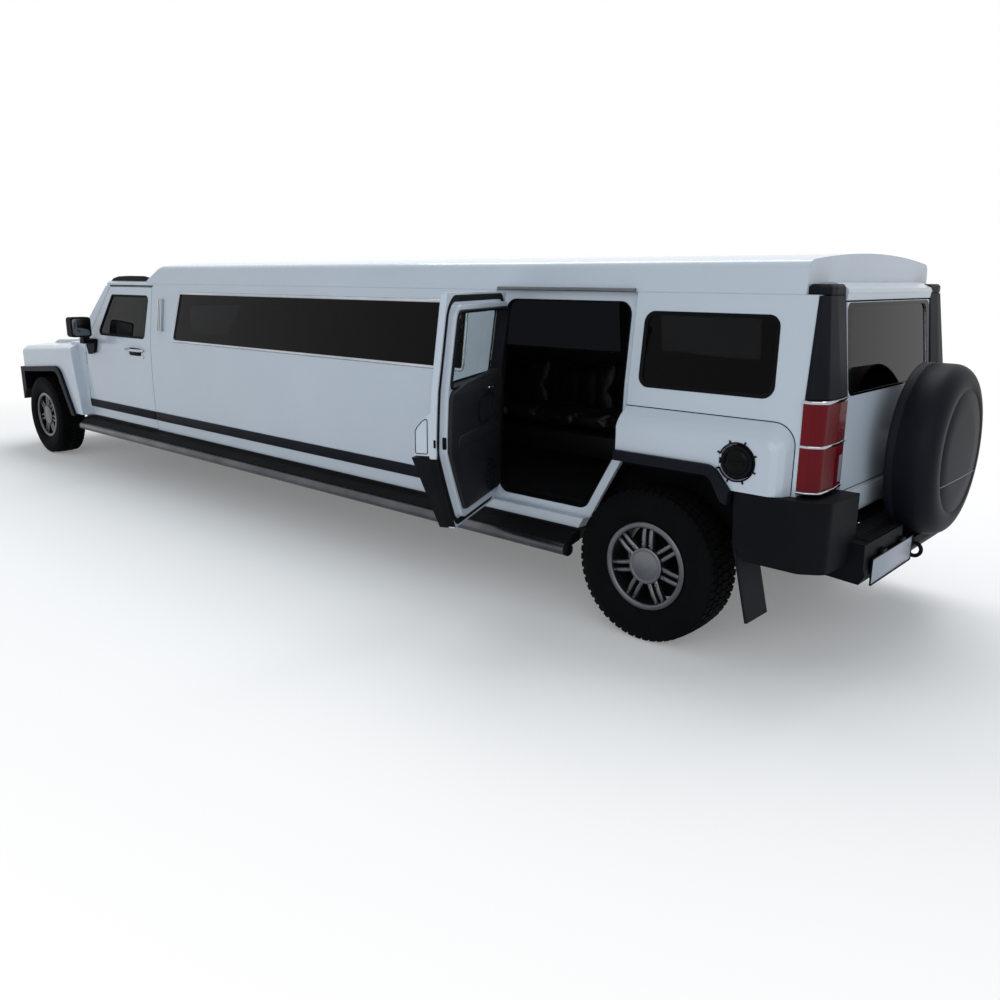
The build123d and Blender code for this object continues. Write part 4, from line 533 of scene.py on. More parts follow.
def on_level(z):
    """Placing function on a flat level."""
    return lambda x, y, out: Vector((x, y, z + out))


def facing(x, way, side=LEFT):
    """Placing function on an upright plane across the car, facing forward or back."""
    return lambda y, z, out: Vector((x + way * out, side * y, z))


def soft_oblong(low, high, radius, steps=5):
    """Rectangle with rounded corners."""
    return rounded([low, (high[0], low[1]), high, (low[0], high[1])], radius, steps)


def block(mesh, low, high, edge, segments=2):
    """Box between two corners with rounded edges."""
    made = bmesh.ops.create_cube(mesh, size=1.0)["verts"]
    low, high = Vector(low), Vector(high)
    for vert in made:
        vert.co = Vector([low[i] + (vert.co[i] + 0.5) * (high[i] - low[i]) for i in range(3)])
    rims = {line for vert in made for line in vert.link_edges}
    bmesh.ops.bevel(mesh, geom=list(rims), offset=edge, segments=segments, profile=0.5, affect="EDGES")


def lathe(mesh, profile, centre, axis, steps, closed=False):
    """Profile of (along, radius) points turned round an axis."""
    axis = Vector(axis).normalized()
    side = axis.orthogonal().normalized()
    other = axis.cross(side)
    rings = []
    for k in range(steps):
        turn = 2 * math.pi * k / steps
        way = side * math.cos(turn) + other * math.sin(turn)
        rings.append([mesh.verts.new(Vector(centre) + axis * along + way * r) for along, r in profile])
    last = len(profile) if closed else len(profile) - 1
    for first, second in zip(rings, rings[1:] + rings[:1]):
        for k in range(last):
            after = (k + 1) % len(profile)
            corners = [first[k], first[after], second[after], second[k]]
            if profile[k][1] < 1e-6:
                corners = [first[k], first[after], second[after]]
            elif profile[after][1] < 1e-6:
                corners = [first[k], first[after], second[k]]
            mesh.faces.new(corners)


def tube(mesh, points, radius, steps=12):
    """Round bar through points, with domed ends."""
    points = [Vector(p) for p in points]
    rows = []
    side = None
    for i, here in enumerate(points):
        way = (points[min(i + 1, len(points) - 1)] - points[max(i - 1, 0)]).normalized()
        side = (way.orthogonal() if side is None else side - way * side.dot(way)).normalized()
        other = way.cross(side)
        ends = [(0.0, 1.0)]
        if i == 0:
            ends = [(-0.55, 0.45), (-0.30, 0.82), (0.0, 1.0)]
        elif i == len(points) - 1:
            ends = [(0.0, 1.0), (0.30, 0.82), (0.55, 0.45)]
        for shift, size in ends:
            turns = [2 * math.pi * k / steps for k in range(steps)]
            base = here + way * shift * radius
            rows.append(
                [base + (side * math.cos(t) + other * math.sin(t)) * radius * size for t in turns]
            )
    skin(mesh, rows)


def dome(mesh, centre, axis, radius, tall):
    """Round-headed stud."""
    profile = [(-0.002, 0.0), (-0.002, radius), (0.45 * tall, 0.92 * radius)]
    profile += [(0.85 * tall, 0.55 * radius), (tall, 0.0)]
    lathe(mesh, profile, centre, axis, 12)


def strip(name, outline, section, place, look, body="body", turn=None, closed=True):
    """Piece made of one band."""
    mesh = bmesh.new()
    band(mesh, outline, section, place, closed)
    return piece(name, mesh, look, body, turn)


def plate(name, outline, heights, edge, place, look, body="body", turn=None, slot=None):
    """Piece made of one panel."""
    mesh = bmesh.new()
    panel(mesh, outline, *heights, edge, place)
    return piece(name, mesh, look, body, turn, slot)


def spun(name, profile, centre, axis, steps, look, body="body", closed=False, slot=None):
    """Piece made of one turned profile."""
    mesh = bmesh.new()
    lathe(mesh, profile, centre, axis, steps, closed)
    return piece(name, mesh, look, body, None, slot)


OPENED = (
    Matrix.Translation(REAR_HINGE)
    @ Matrix.Rotation(DOOR_OPEN, 4, "Z")
    @ Matrix.Translation(-REAR_HINGE)
)


def carried(body, side, word):
    """Body that carries a piece of one side, and the turn of the rear door that stands open."""
    if body == "body":
        return body, None
    return f"{body}_{word}", OPENED if body == "door_rear" and side == LEFT else None


def shrunk(points, amount, radius, steps=6):
    """Outline moved inwards, then rounded."""
    sharp = [Vector(p) for p in points]
    area = sum(a.x * b.y - b.x * a.y for a, b in zip(sharp, sharp[1:] + sharp[:1]))
    sign = -1 if area > 0 else 1
    moved = []
    for i, here in enumerate(sharp):
        back = (here - sharp[i - 1]).normalized()
        ahead = (sharp[(i + 1) % len(sharp)] - here).normalized()
        n1 = Vector((back.y, -back.x)) * sign
        n2 = Vector((ahead.y, -ahead.x)) * sign
        moved.append(here + (n1 + n2) * (amount / (1 + n1.dot(n2))))
    return rounded(moved, radius, steps)


def wheel_way(turn):
    """Direction at an angle in an upright plane along the car."""
    return Vector((math.cos(turn), 0, math.sin(turn)))


# Window frames and gaskets, as sections of (beyond the edge, out of the skin)
CHROME_FRAME = [
    (0.013, 0.0006), (0.012, 0.004), (0.007, 0.008), (0.0, 0.007), (-0.007, 0.002),
    (-0.007, -0.0075), (0.0, -0.0075),
]
GASKET = [
    (0.007, 0.0005), (0.006, 0.0025), (0.0, 0.003), (-0.012, -0.002), (-0.013, -0.0076),
    (-0.001, -0.0076),
]
GLAZING = [  # name, outline, corner, section, finish, body
    ("side_window_frame", SIDE_WINDOW, 0.020, CHROME_FRAME, chrome, "body"),
    ("quarter_gasket", QUARTER_WINDOW, QUARTER_CORNER, GASKET, rubber, "body"),
    ("front_door_gasket", FRONT_WINDOW, CORNER, GASKET, rubber, "door_front"),
    ("rear_door_gasket", REAR_WINDOW, CORNER, GASKET, rubber, "door_rear"),
]
for side, word in SIDES:
    for name, outline, corner, section, look, body in GLAZING:
        ring = rounded(outline, corner, 8)
        strip(f"{name}_{word}", ring, section, on_side(side), look, *carried(body, side, word))

# Black moulding low along the doors and panels
STRIPE_LOW, STRIPE_HIGH, STRIPE_OUT = 0.578, 0.652, (0.0006, 0.011)
STRIPE_SPANS = [  # name, body, rear x, front x, slant of the rear end
    ("stripe_rear_door", "door_rear", RX + 0.500, RX + 1.124, 0.055),
    ("stripe_side", "body", RX + 1.146, FX - 2.240, 0.0),
    ("stripe_door", "door_front", FX - 2.226, FX - 0.944, 0.0),
]
for side, word in SIDES:
    for name, body, rear, front, slant in STRIPE_SPANS:
        outline = [
            (rear + slant, STRIPE_LOW), (front, STRIPE_LOW), (front, STRIPE_HIGH),
            (rear, STRIPE_HIGH),
        ]
        ends = rounded(outline, 0.006, 3)
        carrier, turn = carried(body, side, word)
        plate(f"{name}_{word}", ends, STRIPE_OUT, 0.006, on_side(side), satin, carrier, turn)

# Drip rail over each rear door, gutter over each front door, and the rails on the cab roof
DRIP = [
    (-0.010, 0.0008), (0.010, 0.0008), (0.010, 0.016), (0.004, 0.021), (-0.006, 0.021),
    (-0.010, 0.014),
]
DRIP_SPOTS = [(0.204, 1.752), (0.500, 1.753), (0.800, 1.753), (1.117, 1.752)]
DRIP_PATH = [Vector((RX + x, z)) for x, z in DRIP_SPOTS]
GUTTER = [(-0.004, 0.0006), (0.004, 0.0006), (0.004, 0.004), (0.0, 0.006), (-0.004, 0.004)]
GUTTER_SPOTS = [(-2.255, 1.7265), (-1.800, 1.7270), (-1.455, 1.7265)]
GUTTER_PATH = [Vector((FX + x, z)) for x, z in GUTTER_SPOTS]
RAIL = [
    (0.050, -0.018), (0.0, -0.018), (-0.008, -0.011), (-0.010, 0.0), (-0.008, 0.011),
    (0.0, 0.018), (0.050, 0.018),
]
RAIL_SPOTS = [
    (-2.125, 1.768), (-2.085, 1.791), (-2.02, 1.800), (-1.75, 1.802), (-1.55, 1.797),
    (-1.46, 1.782), (-1.415, 1.762),
]
RAIL_PATH = [Vector((FX + x, z)) for x, z in RAIL_SPOTS]
RAIL_Y = 0.752
for side, word in SIDES:
    place = on_side(side)
    strip(f"drip_rail_{word}", DRIP_PATH, DRIP, place, metal["drip_grey"], closed=False)
    strip(f"door_gutter_{word}", GUTTER_PATH, GUTTER, place, rubber, closed=False)
    rail_place = lambda x, z, out: Vector((x, side * (RAIL_Y + out), z))
    strip(f"roof_rail_{word}", RAIL_PATH, RAIL, rail_place, plastic, closed=False)

# Door handles: dark cup, bright pull and lock
HANDLES = [  # name, body, rear x, front x, height
    ("front_handle", "door_front", FX - 2.100, FX - 1.800, 1.172),
    ("rear_handle", "door_rear", RX + 0.300, RX + 0.560, 1.215),
]
CUP_RIM = [(0.005, 0.0006), (0.004, 0.004), (-0.004, 0.004), (-0.010, 0.0008)]
LOCK = [(0.0, 0.0), (0.006, 0.0), (0.008, 0.010), (0.006, 0.014), (0.0006, 0.015)]
for side, word in SIDES:
    place = on_side(side)
    for name, body, rear, front, z in HANDLES:
        carrier, turn = carried(body, side, word)
        mesh = bmesh.new()
        cup = soft_oblong((rear + 0.05, z - 0.045), (front - 0.04, z + 0.012), 0.02)
        band(mesh, cup, CUP_RIM, place)
        panel(mesh, cup, 0.0006, 0.0016, 0.0006, place)
        piece(f"{name}_cup_{word}", mesh, plastic, carrier, turn)
        mesh = bmesh.new()
        spots = [
            (rear, 0.006), (rear + 0.030, 0.030), (rear + 0.10, 0.040), (front - 0.10, 0.040),
            (front - 0.03, 0.030), (front, 0.006),
        ]
        tube(mesh, [place(x, z, out) for x, out in spots], 0.013, 12)
        lathe(mesh, LOCK, place(rear + 0.01, z - 0.055, 0), (0, side, 0), 20)
        piece(f"{name}_pull_{word}", mesh, chrome, carrier, turn)

# Seal on the doors' shut faces, bead round each doorway, dark trim on the rear doors' slanted edge
SEAL = [
    (-0.016, -0.0342), (-0.012, -0.0362), (-0.005, -0.0374), (0.005, -0.0374), (0.012, -0.0362),
    (0.016, -0.0342),
]
EDGE_TRIM = [
    (0.0004, 0.0006), (0.0014, 0.0006), (0.0014, -0.0352), (-0.009, -0.0352), (-0.009, -0.0343),
    (0.0004, -0.0343),
]
EDGE_PATH = [Vector((RX + 0.206, 0.960)), Vector((RX + 0.429, 0.565))]
BEAD = [
    (0.0003, -0.038), (-0.005, -0.0375), (-0.0085, -0.042), (-0.0085, -0.064),
    (-0.005, -0.0715), (0.006, -0.0715), (0.006, -0.0705), (0.0003, -0.0705),
]
DOORS = (("front", FRONT_DOOR), ("rear", REAR_DOOR))
SEAL_IN, JAMB_IN, OPENING_CORNER = 0.026, 0.042, 0.112
for side, word in SIDES:
    place = on_side(side)
    for name, outline in DOORS:
        ring = shrunk(outline, SEAL_IN, OPENING_CORNER - SEAL_IN)
        strip(f"{name}_door_seal_{word}", ring, SEAL, place, rubber, *carried(f"door_{name}", side, word))
        ring = shrunk(outline, JAMB_IN, OPENING_CORNER - JAMB_IN, 8)
        strip(f"{name}_doorway_bead_{word}", ring, BEAD, place, rubber)
    carrier, turn = carried("door_rear", side, word)
    strip(f"rear_edge_trim_{word}", EDGE_PATH, EDGE_TRIM, place, rubber, carrier, turn, False)

# Inner trim of the doors: window lining, moulded card with armrest, grab ring, lever and speaker
LINING = [
    (-0.003, -0.014), (-0.003, -0.076), (0.001, -0.080), (0.009, -0.080), (0.012, -0.0702),
    (-0.0008, -0.0702), (-0.0008, -0.014),
]
FRONT_LINING = [(min(d, 0.0055) if d > 0 else d, out) for d, out in LINING]
REAR_CARD = [
    (RX + 0.262, 1.272), (RX + 0.420, 1.300), (RX + 0.900, 1.332), (RX + 1.040, 1.322),
    (RX + 1.072, 1.260), (RX + 1.072, 0.650), (RX + 0.468, 0.650), (RX + 0.262, 0.985),
]
FRONT_CARD = [(FX - 2.166, 1.264), (FX - 1.100, 1.264), (FX - 1.100, 0.650), (FX - 2.166, 0.650)]
REAR_SPANS = ((RX + 0.36, RX + 1.00), (RX + 0.66, RX + 0.90))
FRONT_SPANS = ((FX - 2.05, FX - 1.30), (FX - 1.70, FX - 1.46))
CARDS = [  # door, card, corners, lining, window, armrest and grab x, speaker
    ("rear", REAR_CARD, 0.045, LINING, REAR_WINDOW, REAR_SPANS, (RX + 0.88, 0.755)),
    ("front", FRONT_CARD, 0.040, FRONT_LINING, FRONT_WINDOW, FRONT_SPANS, (FX - 1.30, 0.720)),
]
GRAB = [(-0.005, -0.0910), (-0.005, -0.0965), (0.0, -0.0985), (0.005, -0.0965), (0.005, -0.0910)]
SPEAKER = [(-0.006, -0.0910), (-0.006, -0.0950), (0.0, -0.0965), (0.006, -0.0950), (0.006, -0.0910)]
SPEAKER_R, BAR_R, BAR_PITCH, BAR_OUT = 0.088, 0.082, 0.030, -0.0935
LEVER_Z = 1.242
for side, word in SIDES:
    place = on_side(side)
    for name, card, corner, section, window, (rest, grab), speaker in CARDS:
        carrier, turn = carried(f"door_{name}", side, word)
        ring = rounded(window, CORNER, 8)
        strip(f"{name}_window_lining_{word}", ring, section, place, satin, carrier, turn)
        mesh = bmesh.new()
        panel(mesh, rounded(card, corner, 6), -0.0702, -0.092, 0.014, place)
        armrest = soft_oblong((rest[0], 0.985), (rest[1], 1.048), 0.028, 6)
        panel(mesh, armrest, -0.0900, -0.0985, 0.007, place)
        piece(f"{name}_door_card_{word}", mesh, dash, carrier, turn)
        mesh = bmesh.new()
        band(mesh, soft_oblong((grab[0], 1.072), (grab[1], 1.215), 0.055, 6), GRAB, place)
        band(mesh, circle(*speaker, SPEAKER_R), SPEAKER, place)
        for k in range(-2, 3):
            reach = math.sqrt(BAR_R**2 - (BAR_PITCH * k) ** 2)
            height = speaker[1] + BAR_PITCH * k
            tube(mesh, [place(speaker[0] + x, height, BAR_OUT) for x in (-reach, reach)], 0.003, 8)
        piece(f"{name}_door_grab_{word}", mesh, satin, carrier, turn)
        mesh = bmesh.new()
        lever = [(-0.09, -0.092), (-0.08, -0.100), (-0.01, -0.100), (0.0, -0.092)]
        tube(mesh, [place(grab[1] + x, LEVER_Z, out) for x, out in lever], 0.0065, 10)
        piece(f"{name}_door_lever_{word}", mesh, chrome, carrier, turn)

# Ends of the rear doors: dark line round the box's end, latch plates, and the striker in the jamb
BOX_END = [
    (0.871, 0.983), (0.937, 0.983), (0.937, 1.094), (0.925, 1.117), (0.899, 1.145),
    (0.871, 1.164),
]
LINE = [(0.0, 0.0004), (0.0, 0.0016), (-0.004, 0.0016), (-0.004, 0.0004)]
CORE_EDGE = RX + 0.254
for side, word in SIDES:
    carrier, turn = carried("door_rear", side, word)
    end = facing(REAR_EDGE, -1, side)
    strip(f"rear_box_line_{word}", rounded(BOX_END, 0.010), LINE, end, rubber, carrier, turn)
    mesh = bmesh.new()
    latch = soft_oblong((0.795, 1.000), (0.817, 1.060), 0.006)
    panel(mesh, latch, 0.0003, 0.0016, 0.0008, facing(CORE_EDGE, -1, side))
    panel(mesh, soft_oblong((0.830, 1.015), (0.842, 1.055), 0.004), 0.0, 0.0012, 0.0006, end)
    piece(f"rear_latch_{word}", mesh, plastic, carrier, turn)
    mesh = bmesh.new()
    for z in (0.998, 1.034):
        jaw = soft_oblong((RX + 0.2025, z), (RX + 0.2120, z + 0.026), 0.003, 3)
        panel(mesh, jaw, -0.0405, -0.0375, 0.001, on_side(side))
    piece(f"rear_striker_{word}", mesh, plastic)

# Dark strip along the groove round the rear bulge, a painted shade of the crease, and the filler in it
TAIL_X = RX - 0.725
GROOVE_TURN, GROOVE_R, GROOVE_TOP = TAIL_X + 0.128, 0.106, 1.1915
GROOVE_SHADE_PATH = [Vector((RX + 0.194, GROOVE_TOP)), Vector((GROOVE_TURN, GROOVE_TOP))]
for k in range(1, 9):
    bend = math.radians(90 + 90 * k / 8)
    rise = GROOVE_TOP - GROOVE_R + GROOVE_R * math.sin(bend)
    GROOVE_SHADE_PATH.append(Vector((GROOVE_TURN + GROOVE_R * math.cos(bend), rise)))
GROOVE_SHADE_PATH.append(Vector((TAIL_X + 0.022, 0.872)))
# A thin dark strip put where the groove is in shade: painted shade.
GROOVE_SHADE = [(-0.0022, 0.0004), (-0.0022, 0.0012), (0.0022, 0.0012), (0.0022, 0.0004)]
for side, word in SIDES:
    strip(f"bulge_groove_shade_{word}", GROOVE_SHADE_PATH, GROOVE_SHADE, on_side(side), rubber, closed=False)
FLAP_X, FLAP_Z, FLAP_Y, BULGE_Y = RX - 0.470, 1.003, 0.947, 0.943
RING = [(0.0002, 0.0845), (0.005, 0.0850), (0.0075, 0.0880), (0.006, 0.0910), (0.0002, 0.0920)]
NECK = [
    (0.0003, 0.0), (0.0003, 0.080), (0.0015, 0.080), (0.0015, 0.046), (0.0040, 0.044),
    (0.0040, 0.040), (0.0085, 0.038), (0.0100, 0.030), (0.0100, 0.0),
]
FLAP_CAP = [(0.0004, 0.0), (0.0004, 0.060), (0.004, 0.059), (0.009, 0.050), (0.012, 0.030), (0.0135, 0.0)]
mesh = bmesh.new()
rows = []
for k in range(61):
    way = wheel_way(math.radians(18 + 324 * k / 60))
    rows.append([Vector((FLAP_X, BULGE_Y + out, FLAP_Z)) + way * r for out, r in RING])
skin(mesh, rows)
for k in range(8):
    way = wheel_way(math.radians(22.5 + 45 * k))
    hub = Vector((FLAP_X, BULGE_Y + 0.0035, FLAP_Z))
    tube(mesh, [hub + way * 0.089, hub + way * 0.102], 0.0045, 8)
piece("filler_ring", mesh, rubber)
spun("filler_neck", NECK, (FLAP_X, BULGE_Y - 0.024, FLAP_Z), (0, 1, 0), 40, plastic)
mesh = bmesh.new()
lathe(mesh, FLAP_CAP, (FLAP_X, FLAP_Y, FLAP_Z), (0, 1, 0), 48)
grip = (FLAP_X - 0.045, FLAP_Y + 0.006, FLAP_Z - 0.008), (FLAP_X + 0.030, FLAP_Y + 0.017, FLAP_Z + 0.008)
block(mesh, *grip, 0.004)
piece("filler_cap", mesh, black["glass_border"], "fuel_flap")

# Tail lamps: bright strips round the lenses and a pale lens low on each
LENS_X, LENS_Y, LENS_LEAN = TAIL_X - 0.084, 0.578, 0.115
LAMP_PLAN = [
    (TAIL_X, LENS_Y), (LENS_X, LENS_Y), (TAIL_X - 0.098, 0.700), (TAIL_X - 0.092, 0.835),
    (TAIL_X - 0.040, 0.866), (TAIL_X, 0.866),
]
LAMP_PATH = rounded(LAMP_PLAN, [0, 0.008, 0, 0.040, 0.010, 0])[1:][::-1]
STRIPS = ((0.8915, 0.0065), (1.098, 0.007), (1.2925, 0.008))  # height, half width
REVERSE = soft_oblong((0.586, 0.915), (0.640, 1.040), 0.008)
for side, word in SIDES:
    mesh = bmesh.new()
    around = lambda x, y, out: Vector((x, side * y, out))
    for z, half in STRIPS:
        section = [
            (0.0004, z - half), (0.004, z - half + 0.002), (0.0055, z),
            (0.004, z + half - 0.002), (0.0004, z + half),
        ]
        band(mesh, LAMP_PATH, section, around, False)
    piece(f"tail_lamp_strips_{word}", mesh, chrome)
    lean = lambda y, z, out: Vector((LENS_X - LENS_LEAN * (y - LENS_Y) - out, side * y, z))
    plate(f"reverse_lens_{word}", REVERSE, (0.0004, 0.003), 0.0015, lean, pale_lens)

# Tailgate: dark border round the glass, low panel with a dark strip along its crease as painted shade, inner card
# with a grip
GATE_LOW, GATE_HIGH = (RX - 0.800, 1.292), (RX - 0.756, 1.712)
GATE_FOLD = (RX - 0.806, 0.860)
GATE_BULGE, GATE_TUCK = 0.006, 0.010 / 0.148
GATE_IN = RX - 0.735


def on_gate(y, z, out):
    """Placing function on the tailgate's outer face."""
    lean = (GATE_HIGH[0] - GATE_LOW[0]) / (GATE_HIGH[1] - GATE_LOW[1])
    if z > GATE_LOW[1]:
        x = GATE_LOW[0] + (z - GATE_LOW[1]) * lean
    elif z > GATE_FOLD[1]:
        x = GATE_LOW[0] - GATE_BULGE * (GATE_LOW[1] - z) / (GATE_LOW[1] - GATE_FOLD[1])
    else:
        x = GATE_FOLD[0] + (GATE_FOLD[1] - z) * GATE_TUCK
    return Vector((x - out, y, z))


inner = rounded(BACK_GLASS, 0.045, 6)
outer = rounded([(-0.562, 1.2955), (0.562, 1.2955), (0.560, 1.709), (-0.560, 1.709)], 0.040, 6)
mesh = bmesh.new()
rows = []
for a, b in zip(outer, inner):
    spots = ((a, 0.0005), (a, 0.0022), (b, 0.0022), (b, -0.005))
    rows.append([on_gate(p.x, p.y, out) for p, out in spots])
skin(mesh, rows, True)
piece("tailgate_glass_border", mesh, black["glass_border"], "tailgate")
low_panel = soft_oblong((-0.552, 0.722), (0.552, 0.838), 0.020, 4)
plate("tailgate_low_panel", low_panel, (0.0004, 0.005), 0.004, on_gate, outer_paint, "tailgate")
# A dark strip along the fold of the white tailgate is painted shade in the crease.
crease_shade = soft_oblong((-0.556, 0.852), (0.556, 0.856), 0.0015, 2)
plate("tailgate_crease", crease_shade, (0.0004, 0.0012), 0.0006, on_gate, rubber, "tailgate")
CARD_RIB = [(-0.006, 0.009), (-0.004, 0.0125), (0.004, 0.0125), (0.006, 0.009)]
GATE_GRIP = [(0.300, 0.009), (0.310, 0.022), (0.350, 0.026), (0.400, 0.026), (0.440, 0.022), (0.450, 0.009)]
mesh = bmesh.new()
inward = facing(GATE_IN, 1)
panel(mesh, soft_oblong((-0.520, 0.765), (0.520, 1.262), 0.040, 6), 0.0003, 0.0100, 0.006, inward)
band(mesh, soft_oblong((-0.440, 0.840), (0.440, 1.190), 0.060, 6), CARD_RIB, inward)
tube(mesh, [inward(y, 1.225, out) for y, out in GATE_GRIP], 0.008, 10)
piece("tailgate_card", mesh, dash, "tailgate")

# Spare wheel's cover: round shoulder, dished face, bright line across it
SPARE_AT = Vector((RX - 0.884, -0.142, 0.985))
SHOULDER, SHOULDER_IN = 0.085, 0.073
BEND = (0.149, 0.343)


def shoulder(radius, angles):
    """Arc of the cover's shoulder as (along, radius) points."""
    bends = [math.radians(angle) for angle in angles]
    return [(BEND[0] + radius * math.cos(b), BEND[1] + radius * math.sin(b)) for b in bends]


COVER = [(0.240, 0.0), (0.2375, 0.200), (0.2345, 0.300), (0.2305, 0.304)]
COVER += [(0.2305, 0.309), (0.2350, 0.314), (0.2345, 0.343)]
COVER += shoulder(SHOULDER, range(9, 91, 9))
COVER += [(0.060, 0.4285), (0.056, 0.4255), (0.050, 0.4255), (0.046, 0.4285)]
COVER += [(0.014, 0.428), (0.012, 0.424), (0.014, 0.416), (0.149, 0.416)]
COVER += shoulder(SHOULDER_IN, range(75, -1, -15))
COVER += [(0.228, 0.0)]
mesh = bmesh.new()
lathe(mesh, COVER, SPARE_AT, (-1, 0, 0), 96)
cover = piece("spare_cover_shell", mesh, satin, "tailgate", angle=50)
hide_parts("spare_cover")
mesh = bmesh.new()
chord = [SPARE_AT + Vector((-0.2385 + 0.0010 * abs(k), 0.056 * k, -0.135)) for k in range(-5, 6)]
tube(mesh, chord, 0.0028, 8)
piece("spare_cover_line", mesh, metal["drip_grey"], "tailgate")

# Rear bumper: ribbed step pad, blank plate with its lamps, tow ring
STEP = on_level(0.650)
PLATE_X = RX - 0.9905
PLATE_RIM = [(0.002, -0.004), (0.002, 0.003), (-0.004, 0.003), (-0.004, -0.004)]
mesh = bmesh.new()
panel(mesh, soft_oblong((RX - 0.962, 0.165), (RX - 0.818, 0.570), 0.015), -0.004, 0.0030, 0.002, STEP)
for k in range(7):
    x = RX - 0.950 + 0.020 * k
    panel(mesh, soft_oblong((x, 0.180), (x + 0.009, 0.555), 0.004, 3), 0.0025, 0.0065, 0.002, STEP)
piece("step_pad", mesh, rubber)
mesh = bmesh.new()
block(mesh, (PLATE_X, 0.030, 0.446), (RX - 0.984, 0.570, 0.566), 0.002)
piece("plate_blank", mesh, plate_paint)
mesh = bmesh.new()
band(mesh, soft_oblong((0.026, 0.442), (0.574, 0.570), 0.006), PLATE_RIM, facing(PLATE_X, -1))
for y in (0.17, 0.43):
    block(mesh, (RX - 0.995, y - 0.03, 0.571), (RX - 0.973, y + 0.03, 0.589), 0.004)
lathe(mesh, circle(0, 0.034, 0.010, 10), (RX - 0.985, -0.045, 0.478), (0, 1, 0), 28, True)
block(mesh, (RX - 0.985, -0.060, 0.490), (RX - 0.955, -0.030, 0.530), 0.006)
piece("plate_frame", mesh, plastic)

# Mirror glasses
MIRROR_X = FX - 1.300
MIRROR = soft_oblong((0.958, 1.276), (1.115, 1.428), 0.024)
for side, word in SIDES:
    head = facing(MIRROR_X, -1, side)
    look, body = metal["mirror_glass"], f"door_front_{word}"
    plate(f"mirror_glass_{word}", MIRROR, (0.0003, 0.0035), 0.002, head, look, body)

# Coach lamps: dark strips in the flutes between the bright bars, painted shade in the chrome grooves
LAMP_X, LAMP_Z, LAMP_PLATE = FX - 2.420, (1.356, 1.623), 0.014
for side, word in SIDES:
    mesh = bmesh.new()
    for x in (-0.013, 0.013):
        low, high = (LAMP_X + x - 0.0036, LAMP_Z[0] + 0.012), (LAMP_X + x + 0.0036, LAMP_Z[1] - 0.012)
        # Painted shade: black strips stand in for the dark of the chrome flutes.
        flute_shade = soft_oblong(low, high, 0.003, 3)
        panel(mesh, flute_shade, LAMP_PLATE - 0.001, LAMP_PLATE + 0.003, 0.001, on_side(side))
    piece(f"coach_lamp_flute_shade_{word}", mesh, black["glass_border"], slot="chrome")

# Running boards: bright tube with end plugs, ribbed pads
TUBE_Y, TUBE_Z = 0.948, 0.390
BOARD_IN, BOARD_TOP, BOARD_FALL = 0.844, 0.478, 0.125
BOARD_REAR, BOARD_FRONT = RX + 0.470, FX - 0.890
BOARD_LONG = BOARD_FRONT - BOARD_REAR
SLEEVE = [(0.004, 0.0323), (0.004, 0.0335), (0.008, 0.0345)]
SLEEVE += [(BOARD_LONG - 0.008, 0.0345), (BOARD_LONG - 0.004, 0.0335), (BOARD_LONG - 0.004, 0.0323)]
PLUG = [(-0.010, 0.0), (-0.010, 0.0352), (0.004, 0.0352), (0.010, 0.030), (0.013, 0.0)]
PADS = ((RX + 0.50, RX + 1.12), (RX + 1.40, FX - 2.60), (FX - 2.22, FX - 0.96))
for side, word in SIDES:
    spun(f"board_tube_{word}", SLEEVE, (BOARD_REAR, side * TUBE_Y, TUBE_Z), (1, 0, 0), 28, steel, closed=True)
    mesh = bmesh.new()
    for x, way in ((BOARD_REAR, -1), (BOARD_FRONT, 1)):
        lathe(mesh, PLUG, (x, side * TUBE_Y, TUBE_Z), (way, 0, 0), 24)
    top = lambda x, y, out: Vector((x, side * y, BOARD_TOP - BOARD_FALL * (y - BOARD_IN) + out))
    for rear, front in PADS:
        for y in (0.852, 0.866, 0.880, 0.894):
            panel(mesh, soft_oblong((rear, y), (front, y + 0.007), 0.003, 3), 0.0003, 0.0035, 0.0015, top)
    piece(f"board_pads_{word}", mesh, rubber, slot="step_steel")

# Tyres: carcass with a ringed side wall, and five rows of tread blocks
HALF_TYRE = [
    (0.0985, 0.2172), (0.1003, 0.228), (0.108, 0.240), (0.120, 0.258), (0.1292, 0.282),
    (0.1318, 0.300), (0.1322, 0.318), (0.1312, 0.330), (0.1325, 0.338), (0.1318, 0.346),
    (0.1288, 0.352), (0.1240, 0.366), (0.1160, 0.380), (0.1060, 0.3868), (0.0500, 0.3882),
]
TYRE = HALF_TYRE + [(-across, radius) for across, radius in reversed(HALF_TYRE)]
PITCHES, TREAD_BASE, TREAD_TRIM = 56, 0.383, 0.0014
TREAD = [  # from, to, top radius, shift, filled share
    (0.076, 0.114, 0.3925, 0.0, 0.72),
    (0.034, 0.070, 0.3965, 0.5, 0.80),
    (-0.028, 0.028, 0.3980, 0.25, 0.90),
    (-0.070, -0.034, 0.3965, 0.0, 0.80),
    (-0.114, -0.076, 0.3925, 0.5, 0.72),
]
BRICK = ((0, 1, 2, 3), (4, 5, 6, 7), (0, 1, 5, 4), (1, 2, 6, 5), (2, 3, 7, 6), (3, 0, 4, 7))


def tread_block(mesh, centre, across, top, turns):
    """One tread block that narrows towards its top."""
    corners = []
    for radius, trim in ((TREAD_BASE, 0.0), (top, TREAD_TRIM)):
        lean = trim / radius
        spots = (
            (across[0] + trim, turns[0] + lean),
            (across[1] - trim, turns[0] + lean),
            (across[1] - trim, turns[1] - lean),
            (across[0] + trim, turns[1] - lean),
        )
        for along, turn in spots:
            way = Vector((radius * math.cos(turn), along, radius * math.sin(turn)))
            corners.append(mesh.verts.new(centre + way))
    for face in BRICK:
        mesh.faces.new([corners[k] for k in face])


